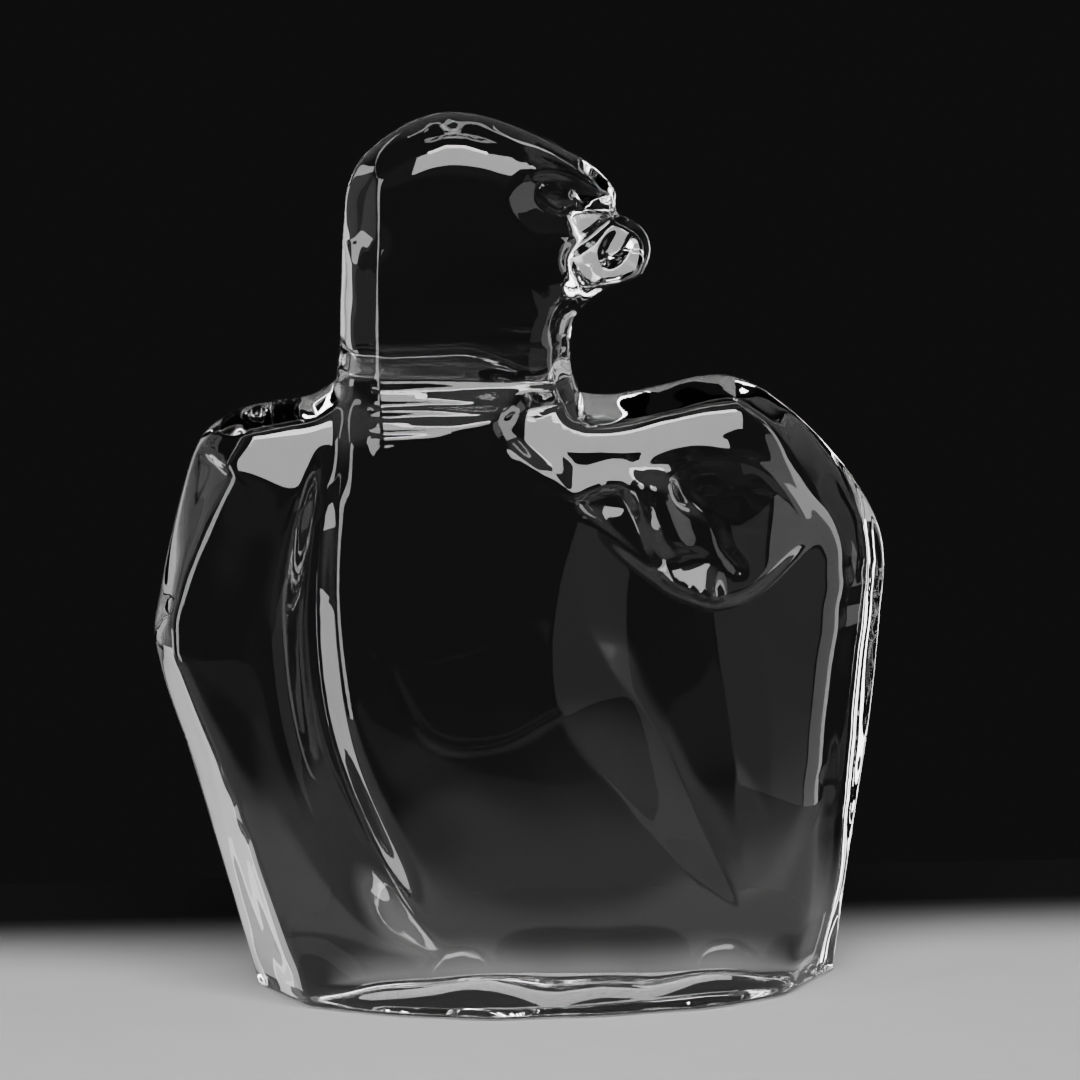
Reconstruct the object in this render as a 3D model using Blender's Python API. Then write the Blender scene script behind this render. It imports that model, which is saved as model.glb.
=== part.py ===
"""A perched bird of prey with folded wings, cast in one solid block of clear glass.

The bird is a thick slab. Its rim runs round the silhouette in the plane y = 0, from one end of the
flat underside up the bird's right wing, the neck and the nape to the crown, and down by the beak and
the left wing to the other end. A front skin and a back skin spring from that rim. How far each skin
stands off the plane is a function of the place across and up the bird, so all carving is worked out here
by formula. Both skins are lofts between unlike rows, which no primitive or modifier makes.

The figure is drawn on a sheet in millimetres, with the middle of the underside at (0, 0), and is then
brought to its real span and height. +X is the bird's own left, its front faces -Y.
"""

import math

import bpy
import numpy as np

# Overall sizes in millimetres. Places across and up the bird are shares of the first two.
HEIGHT = 220.0
SPAN = 182.0

# How far the skins stand off the rim plane, in millimetres.
BREAST_DEPTH = 38.0
WING_EDGE_DEPTH = 21.5
NECK_DEPTH = 17.0
BACK_DEPTH = 22.0
BACK_NECK_DEPTH = 15.0
SHOULDER_DEPTH = 31.5
BEAK_DEPTH = 12.5
BACK_BEAK_DEPTH = 9.5

# Depth of each carved form, in millimetres.
BREAST_LEAN = 8.0
NEAR_FACE_CUT = 7.4
FAR_FACE_RISE = 2.0
BEVEL_RISE = 1.8
GROOVE_DEPTH = 6.5
LEAF_DEPTH = 5.5
SKIRT_DEPTH = 0.6
STRIP_DEPTH = 0.8
SHOULDER_ROLL = 12.9
CROWN_ROLL = 8.0
EYE_DEPTH = 4.0
EYEBALL_RISE = 2.4
CERE_DEPTH = 1.2
SMALL_DIMPLE_DEPTH = 2.2
LARGE_DIMPLE_DEPTH = 2.4
VALLEY_DEPTH = 1.8

# Slopes of the flat faces: how far a face falls back for each millimetre along it.
WING_FACE_SLOPE = 0.37
WING_FACE_RISE = 0.05
FAR_WING_FACE_SLOPE = 0.19
FAR_WING_FACE_RISE = 0.025
LEAF_SLOPE = 0.3
BEVEL_SLOPE = 0.60
SHOULDER_SLOPE = 0.4
CHEEK_SLOPE = 0.22
NAPE_CHAMFER_SLOPE = 0.90
SHELF_FOOT_SLOPE = 0.26
SHELF_TOP_SLOPE = 0.085

# How wide lines and corners are rounded, and how far each roll runs, in millimetres.
FACE_CORNER = 1.0
BEVEL_CORNER = 1.2
CHAMFER_CORNER = 0.8
LEAF_CORNER = 2.0
SHOULDER_CORNER = 1.5
CHEEK_CORNER = 1.5
GROOVE_WALL = 4.0
GROOVE_ROLL = 8.0
GROOVE_ROLL_AT_TOP = 3.4
SKIRT_WIDTH = 1.6
VALLEY_WIDTH = 3.5
CERE_WIDTH = 2.2
SHOULDER_ROLL_LENGTH = 15.0
CROWN_ROLL_LENGTH = 8.5
CROWN_EDGE = 4.0
BACK_ROLL_LENGTH = 12.0
BACK_FOOT_LENGTH = 14.0

# Rounding of the underside's edge and of the rim, and the thinnest that a skin may be, in millimetres.
BASE_ROUND = 1.2
RIM_ROUND = 2.5
THINNEST = 3.0

# Rows of the loft in each stretch of the rim. Columns from the rim to the spine: over the side facet
# and its corner, which reaches EDGE_BAND past the facet, then over the rest.
ROWS = {"body": 19, "shoulder": 13, "neck": 5, "head": 27}
FRONT_COLUMNS = (6, 20)
BACK_COLUMNS = (5, 5)
EDGE_BAND = 7.0

# How far a facet's plane is carried past the corner where it ends, in millimetres.
RUN_PAST = 20.0

# Half the breast's width below, how much wider it gets, and the height over which it does, on the sheet.
FAR_HALF_WIDTH = (66, 27, 90)
NEAR_HALF_WIDTH = (62, 10, 80)
BREAST_TOP = 126
BREAST_FALL_LOSS = 0.27

# A place on each slanting face, on the sheet.
NEAR_FACE = (45, 40)
FAR_FACE = (-87, 80)
BEVEL_FOOT = 131
SHELF_SIDE = -41
SHELF_TOP = 158.5
SHELF_TOP_LIMITS = (154, 160)
SHELF_FOOT = 141
SHELF_FOOT_LIMITS = (141, 153)
CHAMFER_EDGE = -42
BACK_NECK_FOOT = 162
BACK_NECK_DROP = 10
BACK_BREAST = (-5, 60)
BACK_BREAST_WIDTHS = (60, 80)

# Ovals of the carving on the sheet: middle, radii, and tilt in degrees.
EYE = ((0.5, 199), (12, 6), -33)
EYEBALL = ((3, 197.5), (5.5, 3.8), -33)
KNOB = ((15, 185.5), (11.5, 10), 0)
SMALL_DIMPLE = ((14.3, 127.6), (4.6, 4.2), 0)
LARGE_DIMPLE = ((39.5, 131.5), (8.2, 5.8), -8)

# Where each form fades in: the place where it starts, and the length to its full strength, which is
# negative where it fades in downwards, towards the far wing or inwards.
FADES = {
    "far face": (-52, -8), "far wing": (-49, -5),
    "groove foot": (16, 26), "groove top": (146, -12), "groove roll": (138, -45),
    "chamfer below": (132, 26), "neck": (80, 40), "chamfer side": (-33, -5), "chamfer least": 0.12,
    "shoulder side": (-17, 12), "shoulder end": (66, -24), "shoulder top": (153.5, -4),
    "over crest": (-2, 4), "valley": (1, 6),
    "crown": (172, 28), "cheek foot": (154, 8), "cheek side": (-14, 4),
    "eye": (1.25, -0.7), "eyeball": (1.3, -0.9),
    "beak side": (2, 8), "beak foot": (168, 9), "beak top": (199, -8),
    "skirt": (122, -20), "strip side": (-41, -5), "strip end": (-56, 6), "strip foot": (80, 40),
    "back neck": (-20, 25), "back beak side": (3, 8), "back beak foot": (166, 8),
}

# The rim on each side of the bird and the spine between them, stretch by stretch, on the sheet.
# A rim point is across, up, how far in the side facet's front edge lies, and how softly it is rounded.
WING_RIM = {
    "body": [(-72, 0, 7.3, 2.5), (-80.5, 31, 4.2, 3), (-88.9, 61, 2.4, 3.5), (-95.7, 83, 1.5, 4),
             (-97.2, 91.5, 1.6, 4), (-95.8, 100, 1.8, 4), (-91.1, 122, 7, 4), (-87, 136, 11, 4)],
    "shoulder": [(-87, 136, 11, 4), (-83, 142.3, 6, 4), (-77, 145.4, 3, 4), (-65.5, 147.4, 2, 4),
                 (-57, 149, 2, 4), (-52.6, 151.8, 2, 4)],
    "neck": [(-52.6, 151.8, 2, 4), (-51.3, 157, 2.4, 3), (-50.3, 175, 2.4, 3)],
    "head": [(-50.3, 175, 2.4, 3), (-49.4, 192, 2.4, 3), (-48, 203, 2.6, 3), (-45.4, 208.3, 3.5, 3),
             (-38, 214.9, 5, 4), (-30, 218.9, 5, 5), (-23.5, 220, 5, 5)],
}
BEAK_RIM = {
    "body": [(73, 0, 14, 2.5), (75.2, 18, 12, 3), (78.5, 43, 12.6, 3.5), (82, 69, 13.4, 3.5),
             (84, 93, 12.5, 3.5), (84.8, 107, 12, 3.5), (83, 116, 11.5, 4)],
    "shoulder": [(83, 116, 11.5, 4), (79, 124, 10, 4), (69, 137, 8.2, 3), (60, 145.5, 5.2, 3),
                 (53.5, 150.2, 3.5, 3), (47, 152.5, 1.8, 3), (40, 152.5, 1.6, 3), (28.5, 150.5, 2.4, 3),
                 (16, 148.8, 3.6, 3), (10.6, 149.3, 4, 3)],
    "neck": [(10.6, 149.3, 4, 3), (7.8, 152, 4, 4), (6.2, 158.5, 5, 5), (6.4, 163, 6, 5), (8.6, 171, 5, 4)],
    "head": [(8.6, 171, 5, 4), (13.6, 175.6, 3, 3), (19, 177.3, 2.5, 4), (23.7, 180, 2.5, 4),
             (25.9, 185.4, 2.5, 4), (24.5, 190, 2.5, 4), (21.4, 192.7, 2.5, 4), (18, 194.4, 2.5, 3),
             (17.2, 196.6, 2.5, 3), (17.3, 199.2, 2.5, 3), (14.2, 204, 2.5, 3), (6.1, 210, 3, 3),
             (-3.7, 214.9, 4, 4), (-13.5, 218.6, 5, 5), (-23.5, 220, 5, 5)],
}
WING_CORNER = (-84.5, 140.5)
BEAK_SIDE_CORNER = (56, 148.5)
SPINE = {
    "body": [(0, 0), (-3, 55), (-10, 113)],
    "shoulder": [(-10, 113), (-16, 131), (-21, 144.5)],
    "neck": [(-21, 144.5), (-22, 172)],
    "head": [(-22, 172), (-22.5, 190), (-23.3, 201), (-23.5, 207)],
}

# Lines of the carving on the front, on the sheet.
SHOULDER_TOP_LINE = [(-14, 147.5), (-2, 150), (10.6, 149.3)]
GROOVE_LINE = [(-53.5, 152), (-57.5, 120), (-58.5, 100), (-54.5, 67), (-43.5, 39), (-33, 18)]
CREST_LINE = [(-13, 145), (-2.5, 136.3), (11, 121), (30.6, 106.2), (42, 103), (64, 116)]
CREASE_LINE = [(37, 108), (41.9, 78), (46, 37), (47.5, 20), (50, -8)]
LEAF_LINE = [(10, 136), (0.5, 108), (-1.5, 92), (0.2, 76.6), (16, 55.5), (31, 37.3), (47, 21), (50.5, -8)]
SKIRT_LINE = [(-43, 125), (-39.3, 84.5), (-29, 69.5), (-14, 69.5), (0.2, 76.6)]
CHEEK_LINE = [(22, 207), (-3, 207.5), (-11, 197), (-5.3, 180), (1, 168.7), (3, 150)]
CERE_LINE = [(18, 195.5), (11, 190.5), (4.5, 185.5), (8, 177)]
VALLEY_LINE = [(19.5, 136), (24, 123), (33, 107)]

# How far up the head's stretch of each rim the crown begins, as a share of the whole rim.
NAPE_SHARE = 0.12
BROW_SHARE = 0.21


def ramp(t):
    """An S-shaped rise from 0 at t = 0 to 1 at t = 1."""
    t = np.clip(t, 0.0, 1.0)
    return t * t * (3.0 - 2.0 * t)


def lower(a, b, blend):
    """The lower of two heights, with the corner between them rounded over the blend."""
    return 0.5 * (a + b - np.sqrt((a - b) ** 2 + blend ** 2))


def fade(name, value):
    """How far a form has faded in at a place."""
    start, length = FADES[name]
    return ramp((value - start) / length)


def bell(distance, width):
    """A rounded bump, 1 on the line and fading out by about twice the width."""
    return np.exp(-(distance / width) ** 2)


def stations(stretches):
    """Where along the bird, from 0 at the base to 1 at the crown, each point of a drawn line falls."""
    total = sum(ROWS.values())
    points, marks, start = [], [], 0.0
    for name, rows in ROWS.items():
        stretch = np.array(stretches[name], float)
        along = np.r_[0.0, np.cumsum(np.hypot(*np.diff(stretch[:, :2], axis=0).T))]
        marks.extend(start + along / along[-1] * rows / total)
        points.extend(stretch)
        start += rows / total
        if name != "head":
            marks.pop()
            points.pop()
    return np.array(marks), np.array(points)


def smooth_curve(marks, points, at, crown=False):
    """A curve through the points, read at the given marks. At the crown it ends level."""
    step = np.diff(marks)
    slope = np.diff(points, axis=0) / step[:, None]
    tangent = np.empty_like(points)
    tangent[0], tangent[-1] = slope[0], slope[-1]
    weight = (step[1:] + step[:-1])[:, None]
    tangent[1:-1] = (slope[:-1] * step[1:, None] + slope[1:] * step[:-1, None]) / weight
    if crown:
        tangent[-1, 1] = 0.0
    i = np.clip(np.searchsorted(marks, at, side="right") - 1, 0, len(marks) - 2)
    h = step[i][:, None]
    s = ((at - marks[i]) / step[i])[:, None]
    return ((2 * s ** 3 - 3 * s ** 2 + 1) * points[i] + (s ** 3 - 2 * s ** 2 + s) * h * tangent[i]
            + (3 * s ** 2 - 2 * s ** 3) * points[i + 1] + (s ** 3 - s ** 2) * h * tangent[i + 1])


def drawn_line(points, count=28):
    """A smooth line through a few points, as short straight runs."""
    points = np.array(points, float)
    along = np.r_[0.0, np.cumsum(np.hypot(*np.diff(points, axis=0).T))]
    return smooth_curve(along / along[-1], points, np.linspace(0.0, 1.0, count))


def off_line(x, z, line, runs_before=False, runs_on=False):
    """Distance from each place to a line, its side (+1 left of travel) and how far along the foot lies.

    A line that runs before or runs on goes straight on a little past its first or last point.
    """
    nearest = np.full(x.shape, np.inf)
    side = np.ones(x.shape)
    along = np.zeros(x.shape)
    for i, ((ax, az), (bx, bz)) in enumerate(zip(line[:-1], line[1:])):
        ux, uz = bx - ax, bz - az
        t = ((x - ax) * ux + (z - az) * uz) / (ux * ux + uz * uz)
        spare = RUN_PAST / math.hypot(ux, uz)
        t = np.clip(t, -spare if runs_before and i == 0 else 0.0,
                    1.0 + spare if runs_on and i == len(line) - 2 else 1.0)
        square = (x - ax - t * ux) ** 2 + (z - az - t * uz) ** 2
        closer = square < nearest
        nearest = np.where(closer, square, nearest)
        side = np.where(closer, np.sign(ux * (z - az) - uz * (x - ax)), side)
        along = np.where(closer, i + np.clip(t, 0.0, 1.0), along)
    return np.sqrt(nearest), side, along / (len(line) - 1)


def signed_off_line(x, z, points):
    """Distance to a drawn line, positive on the left of travel."""
    distance, side, _ = off_line(x, z, drawn_line(points))
    return distance * side


def soft_distance(x, z, line):
    """Distance to a line from the middle of its field, so that no ridge forms where two runs are as near.

    The sum of 1 / r^5 along a straight line is 4/3 of 1 / distance^4, and is solved for the distance.
    """
    step = np.hypot(*np.diff(line, axis=0).T)
    share = np.r_[step, 0] / 2 + np.r_[0, step] / 2
    total = sum(w / ((x - px) ** 2 + (z - pz) ** 2 + 1e-6) ** 2.5 for (px, pz), w in zip(line, share))
    return (0.75 * total) ** -0.25


def oval(x, z, drawn):
    """How many radii a place lies from the middle of a tilted oval."""
    middle, radii, tilt = drawn
    c, s = math.cos(math.radians(tilt)), math.sin(math.radians(tilt))
    across = ((x - middle[0]) * c + (z - middle[1]) * s) / radii[0]
    up = ((z - middle[1]) * c - (x - middle[0]) * s) / radii[1]
    return np.hypot(across, up)


class Rim:
    """One side of the rim: its curve, and the two side facets that run along it and meet at a corner."""

    def __init__(self, stretches, corner):
        self.marks, self.points = stations(stretches)
        self.line = smooth_curve(self.marks, self.points, np.linspace(0.0, 1.0, 161), crown=True)
        self.corner = int(np.argmin(np.hypot(*(self.line[:, :2] - corner).T)))

    def at(self, marks):
        """Places on the rim, and how far in the side facet's front edge lies there."""
        points = smooth_curve(self.marks, self.points, marks, crown=True)
        return points[:, :2], points[:, 2]

    def stretch(self, first, last):
        """The rim's line between two marks."""
        marks = np.linspace(0.0, 1.0, len(self.line))
        return self.line[(marks >= first) & (marks <= last), :2]

    def distance(self, x, z):
        """Distance in from the rim."""
        return off_line(x, z, self.line[:, :2], runs_before=True)[0]

    def cut(self, x, z, depth):
        """The skin's height once the flank facet and the top facet have cut it."""
        height = depth
        for run, is_flank in ((self.line[:self.corner + 1], True), (self.line[self.corner:], False)):
            distance, _, along = off_line(x, z, run[:, :2], runs_before=True, runs_on=is_flank)
            along = np.clip(along, 0.0, 1.0) * (len(run) - 1)
            count = np.arange(len(run))
            inset, rounding = np.interp(along, count, run[:, 2]), np.interp(along, count, run[:, 3])
            height = np.minimum(height, facet_edge(distance, depth, inset, rounding))
        return height


def breast(x, z):
    """The broad cap of the breast and wings: deepest in the middle, thinner to the wings and upwards."""
    sides = (FAR_HALF_WIDTH, NEAR_HALF_WIDTH)
    far, near = (half + wider * np.clip(z / height, 0, 1) for half, wider, height in sides)
    across = x / np.where(x < 0, far, near)
    middle = BREAST_DEPTH - BREAST_LEAN * (np.maximum(z, 0) / BREAST_TOP) ** 2
    fall = (BREAST_DEPTH - WING_EDGE_DEPTH) * (1 - BREAST_FALL_LOSS * np.clip(z / 100, 0, 1))
    return middle - fall * np.minimum(across ** 2, 1.4)


def wing_faces(x, z, depth):
    """The flat face of each wing cuts across the cap."""
    near_face = (BREAST_DEPTH - NEAR_FACE_CUT - WING_FACE_SLOPE * (x - NEAR_FACE[0])
                 - WING_FACE_RISE * (z - NEAR_FACE[1]))
    far_face = (WING_EDGE_DEPTH + FAR_FACE_RISE + FAR_WING_FACE_SLOPE * (x - FAR_FACE[0])
                - FAR_WING_FACE_RISE * (z - FAR_FACE[1]))
    depth = lower(depth, near_face, FACE_CORNER)
    return depth + (lower(depth, far_face, FACE_CORNER) - depth) * fade("far face", x)


def groove(x, z):
    """The groove between the far wing and the body: a long roll from the wing, a short wall to the body."""
    off = signed_off_line(x, z, GROOVE_LINE)
    roll = GROOVE_ROLL_AT_TOP + (GROOVE_ROLL - GROOVE_ROLL_AT_TOP) * fade("groove roll", z)
    profile = np.where(off > 0, bell(off, GROOVE_WALL), bell(off, roll))
    return GROOVE_DEPTH * fade("groove foot", z) * fade("groove top", z) * profile


def leaf(x, z):
    """The leaf-shaped hollow of the near wing, between its own outline and the wing's crease."""
    inside = lower(signed_off_line(x, z, LEAF_LINE), -signed_off_line(x, z, CREASE_LINE), LEAF_CORNER)
    return LEAF_DEPTH * np.tanh(LEAF_SLOPE * np.clip(inside, 0, None) / LEAF_DEPTH)


def far_shoulder(z, depth):
    """The flat bevel on top of the far shoulder."""
    bevel = WING_EDGE_DEPTH + BEVEL_RISE - BEVEL_SLOPE * (z - BEVEL_FOOT)
    return lower(depth, bevel, BEVEL_CORNER)


def neck_and_breast(x, z, depth):
    """The neck rises behind a sloping shelf above the breast, with a chamfer down the nape."""
    top = np.clip(SHELF_TOP - SHELF_TOP_SLOPE * (x - SHELF_SIDE), *SHELF_TOP_LIMITS)
    foot = np.clip(SHELF_FOOT + SHELF_FOOT_SLOPE * (x - SHELF_SIDE), *SHELF_FOOT_LIMITS)
    t = np.clip((top - z) / (top - foot), 0, 1)
    shelf = NECK_DEPTH + (depth - NECK_DEPTH) * (ramp(t) + t) / 2
    shelf = np.where(z > foot, shelf, depth)
    least = FADES["chamfer least"]
    strength = least + (1 - least) * fade("chamfer below", z)
    chamfer = shelf - NAPE_CHAMFER_SLOPE * strength * (CHAMFER_EDGE - x)
    return shelf + fade("neck", z) * (lower(shelf, chamfer, CHAMFER_CORNER) - shelf) * fade("chamfer side", x)


def near_shoulder(x, z, depth, shoulder_rim):
    """The near shoulder rolls over from its top and hangs over the leaf in a crest."""
    top = np.concatenate([drawn_line(SHOULDER_TOP_LINE)[:-1], shoulder_rim[::-1]])
    distance, side, _ = off_line(x, z, top)
    below_top = np.where(side < 0, distance, 0)
    roll = SHOULDER_DEPTH - SHOULDER_ROLL * np.exp(-below_top / SHOULDER_ROLL_LENGTH)
    over_crest = signed_off_line(x, z, CREST_LINE)
    rolled = lower(depth, roll + SHOULDER_SLOPE * below_top, SHOULDER_CORNER)
    mass = rolled + (roll - rolled) * fade("shoulder end", x)
    valley = VALLEY_DEPTH * bell(signed_off_line(x, z, VALLEY_LINE), VALLEY_WIDTH)
    mass = mass - valley * fade("valley", over_crest)
    mass = mass - SMALL_DIMPLE_DEPTH * np.exp(-oval(x, z, SMALL_DIMPLE) ** 3)
    mass = mass - LARGE_DIMPLE_DEPTH * np.exp(-oval(x, z, LARGE_DIMPLE) ** 3)
    share = fade("over crest", over_crest) * fade("shoulder top", z)
    return depth + (rolled + (mass - rolled) * share - depth) * fade("shoulder side", x)


def face(x, z, depth, crown_line):
    """The crown rolls forward, the cheek turns away, and the eye lies in a hollow under the brow."""
    below_crown = np.clip(soft_distance(x, z, crown_line) - CROWN_EDGE, 0, None)
    depth = depth - CROWN_ROLL * np.exp(-below_crown / CROWN_ROLL_LENGTH) * fade("crown", z)
    past_cheek = signed_off_line(x, z, CHEEK_LINE)
    turned = (past_cheek + np.sqrt(past_cheek ** 2 + CHEEK_CORNER ** 2)) / 2
    depth = depth - CHEEK_SLOPE * turned * fade("cheek foot", z) * fade("cheek side", x)
    depth = depth - EYE_DEPTH * fade("eye", oval(x, z, EYE))
    return depth + EYEBALL_RISE * fade("eyeball", oval(x, z, EYEBALL))


def half_egg(x, z, depth):
    """Half an egg for one side of the beak, drawn out straight towards the cheek, and never quite flat."""
    off = oval(np.maximum(x, KNOB[0][0]), z, KNOB)
    return depth * np.sqrt(np.clip(1 - off ** 2, 0, None) + 0.1)


def beak(x, z, depth):
    """The beak grows out of the cheek as a rounded knob, behind a shallow valley."""
    share = fade("beak side", x) * fade("beak foot", z) * fade("beak top", z)
    valley = CERE_DEPTH * bell(signed_off_line(x, z, CERE_LINE), CERE_WIDTH)
    return depth + (half_egg(x, z, BEAK_DEPTH) - depth) * share - valley


def front_depth(x, z, wing_rim, beak_rim):
    """How far the front skin stands off the rim plane before the side facets cut it."""
    body = wing_faces(x, z, breast(x, z))
    body = body - leaf(x, z)
    body = body - SKIRT_DEPTH * bell(signed_off_line(x, z, SKIRT_LINE), SKIRT_WIDTH) * fade("skirt", z)
    body = body - STRIP_DEPTH * fade("strip side", x) * fade("strip end", x) * fade("strip foot", z)
    far = far_shoulder(z, body)
    middle = neck_and_breast(x, z, body)
    depth = middle + (far - middle) * fade("far wing", x)
    depth = depth - groove(x, z)
    depth = near_shoulder(x, z, depth, beak_rim.stretch(*stretch_marks("shoulder")))
    head_first, head_last = stretch_marks("head")
    crown = np.concatenate([wing_rim.stretch(head_first + NAPE_SHARE, head_last)[:-1],
                            beak_rim.stretch(head_first + BROW_SHARE, head_last)[::-1]])
    depth = face(x, z, depth, crown)
    return np.maximum(beak(x, z, depth), THINNEST)


def back_depth(x, z, wing_rim, beak_rim):
    """How far the plainer back skin stands off the rim plane."""
    near_top = np.minimum(wing_rim.distance(x, z), beak_rim.distance(x, z))
    bulge = bell(x - BACK_BREAST[0], BACK_BREAST_WIDTHS[0]) * bell(z - BACK_BREAST[1], BACK_BREAST_WIDTHS[1])
    broad = BACK_DEPTH * (0.88 + 0.12 * bulge)
    shoulder = BACK_DEPTH * (0.8 + 0.36 * (1 - np.exp(-near_top / BACK_ROLL_LENGTH)))
    foot = BACK_NECK_FOOT - BACK_NECK_DROP * fade("back neck", x)
    body = np.minimum(broad, shoulder)
    depth = BACK_NECK_DEPTH + (body - BACK_NECK_DEPTH) * ramp((foot - z) / BACK_FOOT_LENGTH)
    depth = np.where(z > 100, depth, broad)
    at_beak = fade("back beak side", x) * fade("back beak foot", z)
    return np.maximum(depth + (half_egg(x, z, BACK_BEAK_DEPTH) - depth) * at_beak, THINNEST)


def stretch_marks(name):
    """The first and last mark of a stretch of the rim."""
    names = list(ROWS)
    total = sum(ROWS.values())
    first = sum(ROWS[n] for n in names[:names.index(name)]) / total
    return first, first + ROWS[name] / total


def facet_edge(distance, depth, inset, rounding):
    """The skin's height where the side facet meets it, in a corner rounded like a hyperbola.

    The facet climbs from the rounded rim to the full depth over its inset. The product of the distances
    to the facet and to the skin is held at a small amount near the corner, and falls to nothing inside.
    """
    rounded = np.sqrt(distance ** 2 + 2 * RIM_ROUND * distance)
    distance = rounded / np.sqrt(1 + 2 * RIM_ROUND / inset)
    lean = inset / depth
    amount = rounding ** 2 / 4 * np.hypot(1, lean) * (1 - ramp((distance - inset) / (3 * rounding)))
    reach = distance + amount / depth
    total = reach + lean * depth
    return (total - np.sqrt(np.maximum(total ** 2 - 4 * lean * (reach * depth - amount), 0))) / (2 * lean)


def row_marks():
    """Marks of the rows: one more by the base, for its rounded edge, then even in each stretch."""
    total = sum(ROWS.values())
    marks = [0.0, 0.3 / total]
    start = 0.0
    for rows in ROWS.values():
        marks.extend((start + np.arange(1, rows + 1)) / total)
        start += rows
    return np.array(marks)


def across_row(rim_points, spine_points, inset, columns):
    """Places from the rim to the spine: the edge columns cover the side facet and its corner."""
    length = np.hypot(*(spine_points - rim_points).T)
    edge_columns, inner_columns = columns
    band = (np.minimum(inset + EDGE_BAND, 0.6 * length) / length)[:, None]
    share = np.concatenate([band * np.linspace(0, 1, edge_columns + 1) ** 1.5,
                            band + (1 - band) * np.linspace(0, 1, inner_columns + 1)[1:]], axis=1)
    return rim_points[:, None] + (spine_points - rim_points)[:, None] * share[..., None]


def skin(marks, wing_rim, beak_rim, columns, depth_of, facing):
    """One skin as rows of points, from the far wing's rim over the spine to the beak side's rim."""
    spine_marks, spine_points = stations(SPINE)
    spine = smooth_curve(spine_marks, spine_points, marks)
    sides = []
    for rim in (wing_rim, beak_rim):
        edge, inset = rim.at(marks)
        sides.append(across_row(edge, spine, inset, columns))
    places = np.concatenate([sides[0], sides[1][:, -2::-1]], axis=1)
    x, z = places[..., 0], places[..., 1]
    depth = depth_of(x, z, wing_rim, beak_rim)
    height = np.minimum(wing_rim.cut(x, z, depth), beak_rim.cut(x, z, depth))
    lip = np.clip(BASE_ROUND - z, 0, BASE_ROUND)
    height = np.maximum(height - BASE_ROUND + np.sqrt(BASE_ROUND ** 2 - lip ** 2), 0)
    height[:, [0, -1]] = 0.0
    return np.stack([x * SPAN / (x.max() - x.min()), facing * height, z * HEIGHT / z.max()], axis=-1)


def numbered(skin_points, first):
    """Vertex numbers of a skin. Its last row is folded at the crown, so both halves share them."""
    rows, columns = skin_points.shape[:2]
    numbers = first + np.arange(rows * columns).reshape(rows, columns)
    half = columns // 2
    numbers[-1, half + 1:] = numbers[-1, :half][::-1]
    return numbers


def quads(numbers, flipped):
    """Four-sided faces between neighbouring rows."""
    corners = np.stack([numbers[:-1, :-1], numbers[:-1, 1:], numbers[1:, 1:], numbers[1:, :-1]], axis=-1)
    corners = corners.reshape(-1, 4)
    return corners[:, ::-1] if flipped else corners


def eagle_mesh():
    """Both skins, welded at the rim and closed by the flat underside."""
    wing_rim, beak_rim = Rim(WING_RIM, WING_CORNER), Rim(BEAK_RIM, BEAK_SIDE_CORNER)
    marks = row_marks()
    front = skin(marks, wing_rim, beak_rim, FRONT_COLUMNS, front_depth, -1)
    back = skin(marks, wing_rim, beak_rim, BACK_COLUMNS, back_depth, 1)
    front_numbers = numbered(front, 0)
    back_numbers = numbered(back, front[..., 0].size)
    back_numbers[:, 0] = front_numbers[:, 0]
    back_numbers[:, -1] = front_numbers[:, -1]
    points = np.concatenate([front.reshape(-1, 3), back.reshape(-1, 3)]) / 1000
    underside = np.r_[front_numbers[0][::-1], back_numbers[0][1:-1]]
    faces = np.concatenate([quads(front_numbers, False), quads(back_numbers, True)])
    used, compact = np.unique(np.r_[faces.ravel(), underside], return_inverse=True)
    faces, underside = compact[:faces.size].reshape(-1, 4), compact[faces.size:]
    mesh = bpy.data.meshes.new("glass_eagle")
    mesh.from_pydata(points[used].tolist(), [], faces.tolist() + [underside.tolist()])
    mesh.validate()
    mesh.shade_smooth()
    mesh.set_sharp_from_angle(angle=math.radians(50))
    return mesh


def clear_glass():
    """Clear, colourless glass."""
    material = bpy.data.materials.new("clear_glass")
    material.use_nodes = True
    shader = material.node_tree.nodes["Principled BSDF"]
    shader.inputs["Base Color"].default_value = (1.0, 1.0, 1.0, 1.0)
    shader.inputs["Roughness"].default_value = 0.0
    shader.inputs["Metallic"].default_value = 0.0
    shader.inputs["IOR"].default_value = 1.52
    shader.inputs["Transmission Weight"].default_value = 1.0
    return material


def main():
    """Model the bird in a collection of its own."""
    for thing in list(bpy.data.objects):
        bpy.data.objects.remove(thing)
    collection = bpy.data.collections.new("glass_eagle")
    bpy.context.scene.collection.children.link(collection)
    mesh = eagle_mesh()
    mesh.materials.append(clear_glass())
    collection.objects.link(bpy.data.objects.new("glass_eagle", mesh))


main()
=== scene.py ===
"""A perched bird of prey in solid clear glass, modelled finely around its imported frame.

Lengths are in millimetres until a mesh is made, and in metres from there on. A place on the bird is
(across, up) on the sheet that the figure is drawn on: 182 mm wide, 220 mm high, with the middle of the
underside at (0, 0). The front skin stands off the sheet towards -Y, the back skin towards +Y.
"""

import logging
import math
from dataclasses import dataclass
from enum import Enum

import bpy
import numpy as np
from mathutils import Matrix, Vector


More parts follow.
